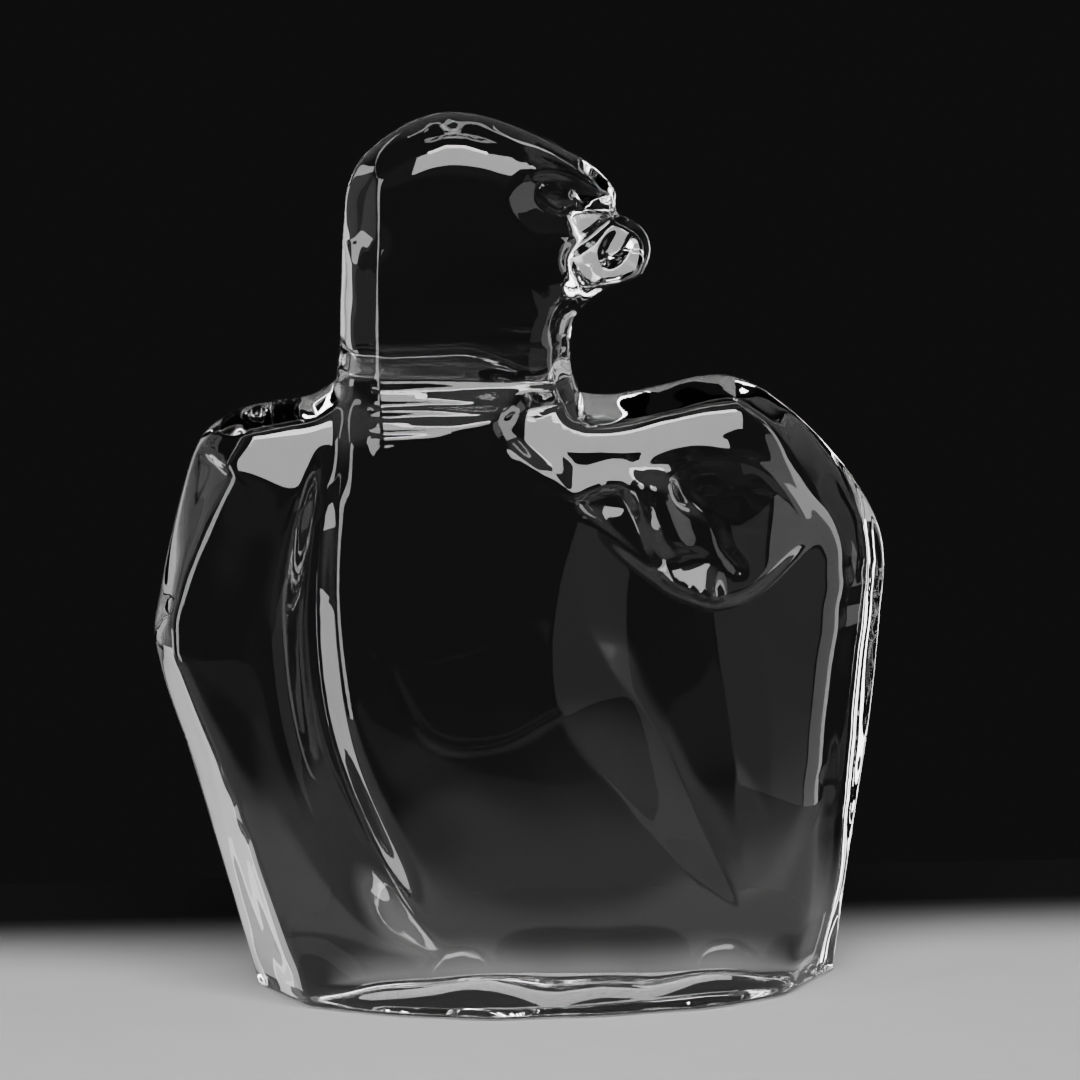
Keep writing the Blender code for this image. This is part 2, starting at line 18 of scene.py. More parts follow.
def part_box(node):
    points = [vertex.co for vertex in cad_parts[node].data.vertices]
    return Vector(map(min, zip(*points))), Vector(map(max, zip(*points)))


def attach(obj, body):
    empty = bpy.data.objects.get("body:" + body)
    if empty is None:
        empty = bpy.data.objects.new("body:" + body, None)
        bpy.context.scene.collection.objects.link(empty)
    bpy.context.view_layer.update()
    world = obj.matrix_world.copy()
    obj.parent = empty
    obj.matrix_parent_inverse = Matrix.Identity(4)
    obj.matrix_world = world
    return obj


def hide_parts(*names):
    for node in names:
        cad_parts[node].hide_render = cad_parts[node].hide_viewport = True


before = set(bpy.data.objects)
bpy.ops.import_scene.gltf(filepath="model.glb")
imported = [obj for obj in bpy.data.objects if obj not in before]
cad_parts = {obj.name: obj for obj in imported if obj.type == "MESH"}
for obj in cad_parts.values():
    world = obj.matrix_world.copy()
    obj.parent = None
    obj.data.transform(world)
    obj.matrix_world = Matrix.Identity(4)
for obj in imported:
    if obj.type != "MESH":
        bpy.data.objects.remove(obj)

LOG = logging.getLogger("glass_eagle")
NODE = "glass_eagle"
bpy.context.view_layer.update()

TINY = 1e-6

Points = tuple[tuple[float, ...], ...]


def ramp(t: np.ndarray) -> np.ndarray:
    """An S-shaped rise, 3 t^2 - 2 t^3, from 0 at t = 0 to 1 at t = 1.

    Args:
        t: How far along the rise each place lies.

    Returns:
        The height of the rise.
    """
    t = np.clip(t, 0.0, 1.0)
    return t * t * (3.0 - 2.0 * t)


def lower(a: np.ndarray, b: np.ndarray, blend: float) -> np.ndarray:
    """The lower of two heights, half of (a + b - sqrt((a - b)^2 + blend^2)).

    Args:
        a: One height.
        b: The other height.
        blend: How wide the rounded corner between them is.

    Returns:
        The lower height, with the corner rounded.
    """
    return 0.5 * (a + b - np.sqrt((a - b) ** 2 + blend ** 2))


def bell(distance: np.ndarray, width: float | np.ndarray) -> np.ndarray:
    """A rounded bump, exp(-(distance / width)^2).

    Args:
        distance: Distance from the middle of the bump.
        width: Where the bump is down to about a third.

    Returns:
        The height of the bump, 1 in the middle.
    """
    return np.exp(-(distance / width) ** 2)


def smooth_curve(marks: np.ndarray, points: np.ndarray, at: np.ndarray,
                 level_end: bool = False) -> np.ndarray:
    """A cubic Hermite curve through points, each tangent the weighted mean of its two slopes.

    Args:
        marks: The parameter of each point, rising.
        points: The points, one a row, with any number of values each.
        at: The parameters to read the curve at.
        level_end: Whether the second value is level at the last point.

    Returns:
        The curve's points at those parameters.
    """
    step = np.diff(marks)
    slope = np.diff(points, axis=0) / step[:, None]
    tangent = np.empty_like(points)
    tangent[0], tangent[-1] = slope[0], slope[-1]
    weight = (step[1:] + step[:-1])[:, None]
    tangent[1:-1] = (slope[:-1] * step[1:, None] + slope[1:] * step[:-1, None]) / weight
    if level_end:
        tangent[-1, 1] = 0.0
    i = np.clip(np.searchsorted(marks, at, side="right") - 1, 0, len(marks) - 2)
    h = step[i][:, None]
    s = ((at - marks[i]) / step[i])[:, None]
    return ((2 * s ** 3 - 3 * s ** 2 + 1) * points[i] + (s ** 3 - 2 * s ** 2 + s) * h * tangent[i]
            + (3 * s ** 2 - 2 * s ** 3) * points[i + 1] + (s ** 3 - s ** 2) * h * tangent[i + 1])


def off_runs(x: np.ndarray, z: np.ndarray, line: np.ndarray, before: float = 0.0,
             after: float = 0.0) -> tuple[np.ndarray, np.ndarray, np.ndarray]:
    """Distance from each place to the nearest straight run of a line.

    Args:
        x: Places across the sheet.
        z: Places up the sheet.
        line: The line's points, one a row.
        before: How far the first run is carried back past its start.
        after: How far the last run is carried on past its end.

    Returns:
        The distance, the side (+1 on the left of travel), and how far along the foot lies, from 0 to 1.
    """
    nearest = np.full(x.shape, np.inf)
    side = np.ones(x.shape)
    along = np.zeros(x.shape)
    last = len(line) - 2
    for i, ((ax, az), (bx, bz)) in enumerate(zip(line[:-1], line[1:])):
        ux, uz = bx - ax, bz - az
        length = math.hypot(ux, uz)
        t = ((x - ax) * ux + (z - az) * uz) / length ** 2
        t = np.clip(t, -before / length if i == 0 else 0.0, 1.0 + (after / length if i == last else 0.0))
        square = (x - ax - t * ux) ** 2 + (z - az - t * uz) ** 2
        closer = square < nearest
        nearest = np.where(closer, square, nearest)
        side = np.where(closer, np.sign(ux * (z - az) - uz * (x - ax)), side)
        along = np.where(closer, i + np.clip(t, 0.0, 1.0), along)
    return np.sqrt(nearest), side, along / (len(line) - 1)


def soft_distance(x: np.ndarray, z: np.ndarray, line: np.ndarray) -> np.ndarray:
    """Distance to a line without a ridge where two runs are as near.

    The sum of 1 / r^5 along a straight line is 4/3 of 1 / distance^4, and is solved for the distance.

    Args:
        x: Places across the sheet.
        z: Places up the sheet.
        line: The line's points, one a row.

    Returns:
        The softened distance.
    """
    step = np.hypot(*np.diff(line, axis=0).T)
    share = np.r_[step, 0] / 2 + np.r_[0, step] / 2
    total = sum(w / ((x - px) ** 2 + (z - pz) ** 2 + TINY) ** 2.5 for (px, pz), w in zip(line, share))
    return (0.75 * total) ** -0.25


@dataclass(frozen=True)
class Fade:
    """An S-shaped change from 0 at its start to 1 a length on, or a length back where that is negative."""

    start: float
    length: float

    def at(self, place: np.ndarray) -> np.ndarray:
        """How far the change has come at each place."""
        return ramp((place - self.start) / self.length)


@dataclass(frozen=True)
class Slope:
    """A straight change: a value at one place, the slope from there, and the lowest and highest value."""

    value: float
    place: float
    slope: float
    low: float
    high: float

    def at(self, place: np.ndarray) -> np.ndarray:
        """The value at each place."""
        return np.clip(self.value + self.slope * (place - self.place), self.low, self.high)


@dataclass(frozen=True)
class Plane:
    """A flat face: a height over its base at one place, falling at one slope across and another up."""

    height: float
    across: float
    up: float
    slope_across: float
    slope_up: float

    def over(self, base: float, x: np.ndarray, z: np.ndarray) -> np.ndarray:
        """The face's height at each place."""
        return base + self.height - self.slope_across * (x - self.across) - self.slope_up * (z - self.up)


@dataclass(frozen=True)
class Swell:
    """A plain wave, height * sin(place / length + phase)."""

    height: float
    length: float
    phase: float = 0.0

    def at(self, place: np.ndarray) -> np.ndarray:
        """The wave's height at each place."""
        return self.height * np.sin(place / self.length + self.phase)


@dataclass(frozen=True)
class Wander:
    """The phase of a wave whose crests wander, rate * along + sway * sin(turns * along)."""

    rate: float
    sway: float
    turns: float

    def at(self, along: np.ndarray) -> np.ndarray:
        """The phase at each place, in radians."""
        return self.rate * along + self.sway * np.sin(self.turns * along)


@dataclass(frozen=True)
class Line:
    """A smooth line of the carving, drawn through a few points of the sheet."""

    points: Points

    def runs(self, count: int = 40) -> np.ndarray:
        """The line as short straight runs.

        Args:
            count: How many points to read.

        Returns:
            The points, one a row.
        """
        points = np.array(self.points, float)
        along = np.r_[0.0, np.cumsum(np.hypot(*np.diff(points, axis=0).T))]
        return smooth_curve(along / along[-1], points, np.linspace(0.0, 1.0, count))

    def signed(self, x: np.ndarray, z: np.ndarray) -> np.ndarray:
        """Distance from the line, positive on the left of travel."""
        distance, side, _ = off_runs(x, z, self.runs())
        return distance * side

    def distance(self, x: np.ndarray, z: np.ndarray) -> np.ndarray:
        """Distance from the line."""
        return off_runs(x, z, self.runs())[0]


@dataclass(frozen=True)
class Oval:
    """A tilted oval on the sheet."""

    across: float
    up: float
    half_length: float
    half_width: float
    tilt: float = 0.0

    def radii(self, x: np.ndarray, z: np.ndarray) -> np.ndarray:
        """How many radii each place lies from the oval's middle.

        Args:
            x: Places across the sheet.
            z: Places up the sheet.

        Returns:
            0 in the middle and 1 on the oval.
        """
        c, s = math.cos(math.radians(self.tilt)), math.sin(math.radians(self.tilt))
        u = ((x - self.across) * c + (z - self.up) * s) / self.half_length
        v = ((z - self.up) * c - (x - self.across) * s) / self.half_width
        return np.hypot(u, v)


class Stretch(Enum):
    """The stretches that the rim is drawn in, from the underside to the crown."""

    BODY = "body"
    SHOULDER = "shoulder"
    NECK = "neck"
    HEAD = "head"


class Side(Enum):
    """Which way a skin faces along Y."""

    FRONT = -1
    BACK = 1


ROWS = {Stretch.BODY: 101, Stretch.SHOULDER: 60, Stretch.NECK: 56, Stretch.HEAD: 123}
ALL_ROWS = sum(ROWS.values())


def stretch_marks(stretch: Stretch) -> tuple[float, float]:
    """The first and last mark of a stretch, 0 at the underside and 1 at the crown.

    Args:
        stretch: Which stretch of the rim.

    Returns:
        The two marks.
    """
    order = list(ROWS)
    first = sum(ROWS[s] for s in order[:order.index(stretch)]) / ALL_ROWS
    return first, first + ROWS[stretch] / ALL_ROWS


def stations(stretches: dict[Stretch, Points]) -> tuple[np.ndarray, np.ndarray]:
    """The mark of every point of a line that is drawn in stretches.

    Args:
        stretches: The points of each stretch. Neighbours share a point.

    Returns:
        The marks and the points, each shared point once.
    """
    marks, points, start = [], [], 0.0
    for stretch, rows in ROWS.items():
        drawn = np.array(stretches[stretch], float)
        along = np.r_[0.0, np.cumsum(np.hypot(*np.diff(drawn[:, :2], axis=0).T))]
        kept = slice(None) if stretch is Stretch.HEAD else slice(-1)
        marks.extend((start + along / along[-1] * rows / ALL_ROWS)[kept])
        points.extend(drawn[kept])
        start += rows / ALL_ROWS
    return np.array(marks), np.array(points)


@dataclass
class Rim:
    """One side of the silhouette, and the flank facet and top facet that meet at its corner.

    A point is across, up, how far in the facet's front edge lies, and how softly that edge is rounded.
    The facets waver in narrow, broad and (on the top only) slanting waves, still near the rim.
    """

    stretches: dict[Stretch, Points]
    corner: tuple[float, float]
    round: float = 2.5
    run_past: float = 20.0
    line_points: int = 401
    stride: int = 4
    corner_fade: float = 3.0
    still_band: float = 2.5
    narrow_wave: float = 3.1
    narrow_depth: float = 0.03
    narrow_phase: Wander = Wander(0.0, 3.0, 9.0)
    broad_depth: float = 0.20
    broad_phase: Wander = Wander(47.0, 2.5, 19.0)
    top_depth: float = 0.16
    top_phase: Wander = Wander(34.0, 1.5, 13.0)
    top_lean: float = 0.9
    back_inset: float = 5.8
    back_fade: Fade = Fade(100, -10)

    def __post_init__(self) -> None:
        """Reads the rim's line and finds the corner on it."""
        self.marks, self.points = stations(self.stretches)
        marks = np.linspace(0.0, 1.0, self.line_points)
        self.line = smooth_curve(self.marks, self.points, marks, level_end=True)
        self.corner_at = int(np.argmin(np.hypot(*(self.line[:, :2] - self.corner).T)))

    def at(self, marks: np.ndarray) -> tuple[np.ndarray, np.ndarray]:
        """Places on the rim, and how far in the facet's front edge lies there."""
        points = smooth_curve(self.marks, self.points, marks, level_end=True)
        return points[:, :2], points[:, 2]

    def part(self, first: float, last: float) -> np.ndarray:
        """The rim's line between two marks."""
        marks = np.linspace(0.0, 1.0, len(self.line))
        return self.line[(marks >= first) & (marks <= last), :2]

    def distance(self, x: np.ndarray, z: np.ndarray) -> np.ndarray:
        """Distance in from the rim."""
        return off_runs(x, z, self.line[::self.stride, :2], before=self.run_past)[0]

    def facet(self, distance: np.ndarray, depth: np.ndarray, inset: np.ndarray,
              rounding: np.ndarray) -> np.ndarray:
        """The skin's height where a facet cuts it.

        The facet climbs from the rounded rim to the full depth over its inset. The product of the
        distances to the facet and to the skin is held at a small amount near the corner, which makes
        the corner a hyperbola, and the amount falls to nothing further in.

        Args:
            distance: Distance in from the rim.
            depth: The skin's height before the cut.
            inset: How far in the facet meets the skin.
            rounding: How soft the corner is.

        Returns:
            The skin's height after the cut.
        """
        rounded = np.sqrt(distance ** 2 + 2 * self.round * distance)
        distance = rounded / np.sqrt(1 + 2 * self.round / inset)
        lean = inset / depth
        fade = ramp((distance - inset) / (self.corner_fade * rounding))
        amount = rounding ** 2 / 4 * np.hypot(1, lean) * (1 - fade)
        reach = distance + amount / depth
        total = reach + lean * depth
        return (total - np.sqrt(np.maximum(total ** 2 - 4 * lean * (reach * depth - amount), 0))) / (2 * lean)

    def waves(self, distance: np.ndarray, along: np.ndarray, top_depth: float) -> np.ndarray:
        """How far the hand-ground facets waver.

        Three sine waves are added up: narrow ones side by side in from the rim, broad ones along it,
        and slanting ones on the top facet. The phase of each wanders along the run.

        Args:
            distance: Distance in from the rim.
            along: How far along the run each place lies.
            top_depth: The depth of the slanting waves.

        Returns:
            The amount added to the distance, nothing at the rim.
        """
        narrow = np.sin(2 * math.pi * distance / self.narrow_wave + self.narrow_phase.at(along))
        broad = np.sin(self.broad_phase.at(along))
        slanting = np.sin(self.top_phase.at(along) + self.top_lean * distance)
        return ramp(distance / self.still_band) * (
            self.narrow_depth * narrow + self.broad_depth * broad + top_depth * slanting)

    def cut(self, x: np.ndarray, z: np.ndarray, depth: np.ndarray, side: Side) -> np.ndarray:
        """The skin's height once the flank facet and the top facet have cut it, the lowest of the three.

        Args:
            x: Places across the sheet.
            z: Places up the sheet.
            depth: The skin's height before the cuts.
            side: Which skin. The back's facets are wider below the wing's widest place.

        Returns:
            The skin's height after the cuts.
        """
        height = depth
        least = self.back_inset * self.back_fade.at(z) if side is Side.BACK else 0.0
        flank, top = self.line[:self.corner_at + 1], self.line[self.corner_at:]
        for run, past_end, top_depth in ((flank, self.run_past, 0.0), (top, 0.0, self.top_depth)):
            distance, _, along = off_runs(x, z, run[:, :2], self.run_past, past_end)
            marks = np.linspace(0.0, 1.0, len(run))
            inset, rounding = np.interp(along, marks, run[:, 2]), np.interp(along, marks, run[:, 3])
            inset = np.maximum(inset, least)
            distance = distance + self.waves(distance, along, top_depth)
            height = np.minimum(height, self.facet(distance, depth, inset, rounding))
        return height


@dataclass
class Outline:
    """The bird's silhouette: the far wing's rim, the beak side's rim, and the spine between them."""

    nape_share: float = 0.285
    brow_share: float = 0.5
    stride: int = 3

    def __post_init__(self) -> None:
        """Draws both rims and the spine."""
        self.wing = Rim({
            Stretch.BODY: ((-72, 0, 11, 1.5), (-80.5, 31, 9.5, 1.5), (-88.9, 61, 7, 1.5),
                           (-95.7, 83, 5.2, 1.5), (-97.2, 91.5, 4.0, 1.5), (-95.8, 100, 2.6, 2),
                           (-91.1, 122, 5.8, 2.5), (-87, 136, 8.3, 2)),
            Stretch.SHOULDER: ((-87, 136, 8.3, 2), (-83, 142.3, 4.5, 1.5), (-77, 145.4, 2.6, 1.2),
                               (-65.5, 147.4, 2, 1.2), (-57, 149, 2, 1.2), (-52.6, 151.8, 2, 1.5)),
            Stretch.NECK: ((-52.6, 151.8, 2, 1.5), (-51.3, 157, 1.9, 1.5), (-50.3, 175, 1.6, 1.2)),
            Stretch.HEAD: ((-50.3, 175, 1.6, 1.2), (-49.4, 192, 1.7, 1.2), (-48, 203, 2.2, 1.2),
                           (-45.4, 208.3, 3.5, 1.2), (-38, 214.9, 5, 1.2), (-30, 218.9, 5, 1.2),
                           (-23.5, 220, 5, 1.2)),
        }, corner=(-84.5, 140.5))
        self.beak_side = Rim({
            Stretch.BODY: ((73, 0, 14, 2), (75.2, 18, 12, 2), (78.5, 43, 12.6, 2), (82, 69, 13.4, 2),
                           (84, 93, 12.5, 2), (84.8, 107, 12, 2), (83, 116, 11.5, 2)),
            Stretch.SHOULDER: ((83, 116, 11.5, 2), (79, 124, 10, 3), (69, 137, 8.2, 3), (60, 145.5, 5.2, 2),
                               (53.5, 150.2, 3.5, 1.2), (47, 152.5, 1.8, 1.2), (40, 152.5, 1.6, 1.2),
                               (28.5, 150.5, 2.4, 1.2), (16, 148.8, 3.6, 1.2), (10.6, 149.3, 4, 1.5)),
            Stretch.NECK: ((10.6, 149.3, 4, 1.5), (7.8, 152, 4, 3), (6.2, 158.5, 5, 4), (6.4, 163, 6, 4),
                           (8.6, 171, 5, 4)),
            Stretch.HEAD: ((8.6, 171, 5, 4), (13.6, 175.6, 3, 1.5), (19, 177.3, 2.5, 1.2),
                           (23.7, 180, 2.2, 1.2), (25.9, 185.4, 2, 1.2), (24.5, 190, 1.6, 1),
                           (21.4, 192.7, 1.4, 1), (18, 194.4, 1.4, 1), (17.2, 196.6, 1.5, 1),
                           (17.3, 199.2, 1.8, 1.2), (14.2, 204, 2.5, 1.2), (6.1, 210, 3, 1.2),
                           (-3.7, 214.9, 4, 1.2), (-13.5, 218.6, 5, 1.2), (-23.5, 220, 5, 1.2)),
        }, corner=(56, 148.5))
        self.spine = stations({
            Stretch.BODY: ((0, 0), (-3, 55), (-10, 113)),
            Stretch.SHOULDER: ((-10, 113), (-16, 131), (-21, 144.5)),
            Stretch.NECK: ((-21, 144.5), (-22, 172)),
            Stretch.HEAD: ((-22, 172), (-22.5, 190), (-23.3, 201), (-23.5, 207)),
        })

    def crown(self) -> np.ndarray:
        """The rim over the head, from the nape to the brow.

        Returns:
            The rim's points, one a row.
        """
        first, last = stretch_marks(Stretch.HEAD)
        span = last - first
        nape = self.wing.part(first + self.nape_share * span, last)
        brow = self.beak_side.part(first + self.brow_share * span, last)
        return np.concatenate([nape[:-1:self.stride], brow[::-self.stride]])


@dataclass
class Breast:
    """The broad cap of the breast and the flat faces that the wings cut across it."""

    depth: float = 38.0
    wing_edge_depth: float = 21.5
    lean: float = 8.0
    lean_height: float = 126.0
    lean_end: float = 150.0
    far_half_width: Slope = Slope(66, 0, 0.3, 66, 93)
    near_half_width: Slope = Slope(62, 0, 0.125, 62, 72)
    fall_loss: float = 0.27
    fall_height: float = 100.0
    most_fall: float = 1.4
    near_face: Plane = Plane(-7.4, 45, 40, 0.37, 0.05)
    far_face: Plane = Plane(2.0, -87, 80, -0.19, 0.025)
    far_face_fade: Fade = Fade(-52, -8)
    face_blend: float = 1.0
    skirt_depth: float = 0.3
    skirt_width: float = 0.9
    skirt_fade: Fade = Fade(122, -20)
    strip_depth: float = 0.8
    strip_inner: Fade = Fade(-41, -5)
    strip_outer: Fade = Fade(-56, 6)
    strip_foot: Fade = Fade(80, 40)
    skirt: Line = Line(((-43, 125), (-39.3, 84.5), (-29, 69.5), (-14, 69.5), (0.2, 76.6)))

    def height(self, x: np.ndarray, z: np.ndarray) -> np.ndarray:
        """The skin's height: a parabola across, lower towards the shoulders, cut by two slanting faces.

        Args:
            x: Places across the sheet.
            z: Places up the sheet.

        Returns:
            The height off the sheet.
        """
        half_width = np.where(x < 0, self.far_half_width.at(z), self.near_half_width.at(z))
        middle = self.depth - self.lean * (np.clip(z, 0, self.lean_end) / self.lean_height) ** 2
        loss = self.fall_loss * np.clip(z, 0, self.fall_height) / self.fall_height
        fall = (self.depth - self.wing_edge_depth) * (1 - loss)
        height = middle - fall * np.minimum((x / half_width) ** 2, self.most_fall)
        height = lower(height, self.near_face.over(self.depth, x, z), self.face_blend)
        cut = lower(height, self.far_face.over(self.wing_edge_depth, x, z), self.face_blend)
        return height + (cut - height) * self.far_face_fade.at(x)

    def relief(self, x: np.ndarray, z: np.ndarray) -> np.ndarray:
        """The faint crease of the skirt of feathers, a bell across, and the flat strip beside the groove.

        Args:
            x: Places across the sheet.
            z: Places up the sheet.

        Returns:
            How deep both are cut.
        """
        crease = self.skirt_depth * bell(self.skirt.distance(x, z), self.skirt_width) * self.skirt_fade.at(z)
        strip = self.strip_depth * self.strip_inner.at(x) * self.strip_outer.at(x) * self.strip_foot.at(z)
        return crease + strip


@dataclass
class Leaf:
    """The leaf-shaped hollow of the near wing, between its own outline and the wing's crease."""

    depth: float = 5.5
    slope: float = 0.3
    edge_blend: float = 2.0
    outline: Line = Line(((10, 136), (0.5, 108), (-1.5, 92), (0.2, 76.6), (16, 55.5), (31, 37.3), (47, 21),
                          (50.5, -8)))
    crease: Line = Line(((37, 108), (41.9, 78), (46, 37), (47.5, 20), (50, -8)))

    def hollow(self, x: np.ndarray, z: np.ndarray) -> np.ndarray:
        """How deep the hollow is: it falls at a slope from its edges and levels out."""
        inside = lower(self.outline.signed(x, z), -self.crease.signed(x, z), self.edge_blend)
        return self.depth * np.tanh(self.slope * np.clip(inside, 0, None) / self.depth)


@dataclass
class FarShoulder:
    """The flat bevel on the far shoulder, and the groove between the far wing and the body."""

    bevel_height: float = 23.3
    bevel_slope: float = 0.60
    bevel_foot: float = 131.0
    bevel_blend: float = 1.2
    groove_depth: float = 8.3
    wall: float = 4.0
    roll: float = 8.0
    roll_at_top: float = 3.4
    roll_fade: Fade = Fade(138, -45)
    foot_fade: Fade = Fade(16, 26)
    top_fade: Fade = Fade(143, -22)
    groove_line: Line = Line(((-53.5, 152), (-57.5, 120), (-58.5, 100), (-54.5, 67), (-43.5, 39), (-33, 18)))

    def bevel(self, z: np.ndarray, depth: np.ndarray) -> np.ndarray:
        """The skin's height once the bevel, a plane that falls as it climbs, has cut it."""
        return lower(depth, self.bevel_height - self.bevel_slope * (z - self.bevel_foot), self.bevel_blend)

    def groove(self, x: np.ndarray, z: np.ndarray) -> np.ndarray:
        """How deep the groove is: half a wide bell from the wing and half a narrow one to the body.

        Args:
            x: Places across the sheet.
            z: Places up the sheet.

        Returns:
            The depth, fading out at the foot and at the top.
        """
        off = self.groove_line.signed(x, z)
        fade = self.foot_fade.at(z) * self.top_fade.at(z)
        roll = self.roll_at_top + (self.roll - self.roll_at_top) * self.roll_fade.at(z)
        return self.groove_depth * fade * np.where(off > 0, bell(off, self.wall), bell(off, roll))


@dataclass
class Neck:
    """The neck behind a sloping shelf above the breast, with a chamfer down the nape.

    The shelf lies between a slanting top and foot. Its ripples fan out from one level, tilt, sway and
    part, and fade out towards the beak and the nape.
    """

    depth: float = 17.0
    top: Slope = Slope(158.5, -41, -0.085, 154, 160)
    foot: Slope = Slope(141, -41, 0.26, 141, 153)
    straight_share: float = 0.2
    chamfer_slope: float = 0.93
    chamfer_edge: float = -42.0
    chamfer_blend: float = 0.25
    chamfer_least: float = 0.12
    chamfer_growth: Fade = Fade(132, 26)
    chamfer_foot: Fade = Fade(80, 40)
    chamfer_across: Fade = Fade(-33, -5)
    flute_depth: float = 0.02
    flute_width: float = 2.4
    ripple_height: float = 0.36
    ripple_height_at_beak: float = 0.38
    ripple_growth: Fade = Fade(-32, 20)
    ripple_length: float = 2.9
    short_ripple_length: float = 1.9
    short_ripple_share: float = 0.35
    fan: float = 0.003
    fan_across: float = -20.0
    fan_up: float = 152.0
    tilt: float = 0.05
    long_sway: Swell = Swell(0.5, 9)
    short_sway: Swell = Swell(0.13, 3.7, 1)
    parting: Swell = Swell(0.25, 11)
    beat: float = 0.15
    beat_across: float = 6.0
    beat_up: float = 1.1
    beak_fade: Fade = Fade(-14, 8)
    low_fade: Fade = Fade(156, -4)
    nape_fade: Fade = Fade(-45.5, 3)

    def ripples(self, x: np.ndarray, z: np.ndarray, share: np.ndarray) -> np.ndarray:
        """Long low ripples across the shelf, whose crests fan out and wander.

        They are two sine waves up the shelf, each of a height that fans out from one level and sways
        across. They beat, and a parabola keeps them to the middle of the shelf.

        Args:
            x: Places across the sheet.
            z: Places up the sheet.
            share: How far down the shelf each place lies, from 0 to 1.

        Returns:
            The height of the ripples.
        """
        fan = z + self.fan * (x - self.fan_across) * (z - self.fan_up)
        fan = fan + self.long_sway.at(x) + self.short_sway.at(x) + self.tilt * x
        parted = fan + self.parting.at(x)
        beat = 1 - self.beat + self.beat * np.sin(x / self.beat_across + z / self.beat_up)
        upper = 1 - self.beak_fade.at(x) * self.low_fade.at(z)
        kept = 4 * share * (1 - share) * upper * self.nape_fade.at(x)
        gain = self.ripple_height_at_beak - self.ripple_height
        height = self.ripple_height + gain * self.ripple_growth.at(x)
        waves = ((1 - self.short_ripple_share) * np.sin(2 * math.pi * fan / self.ripple_length)
                 + self.short_ripple_share * np.sin(2 * math.pi * parted / self.short_ripple_length))
        return height * beat * kept * waves

    def height(self, x: np.ndarray, z: np.ndarray, depth: np.ndarray) -> np.ndarray:
        """The skin's height: an S-shaped fall with a share of a straight one, between foot and top.

        Args:
            x: Places across the sheet.
            z: Places up the sheet.
            depth: The breast's height.

        Returns:
            The height with the shelf, the neck and the chamfer.
        """
        top, foot = self.top.at(x), self.foot.at(x)
        t = np.clip((top - z) / (top - foot), 0, 1)
        rise = (1 - self.straight_share) * ramp(t) + self.straight_share * t
        shelf = self.depth + (depth - self.depth) * rise
        shelf = np.where(z > foot, shelf, depth) + self.ripples(x, z, t)
        strength = self.chamfer_least + (1 - self.chamfer_least) * self.chamfer_growth.at(z)
        flutes = self.flute_depth * np.sin(2 * math.pi * x / self.flute_width)
        chamfer = shelf - self.chamfer_slope * strength * (self.chamfer_edge - x) - flutes
        cut = lower(shelf, chamfer, self.chamfer_blend) - shelf
        return shelf + self.chamfer_foot.at(z) * cut * self.chamfer_across.at(x)


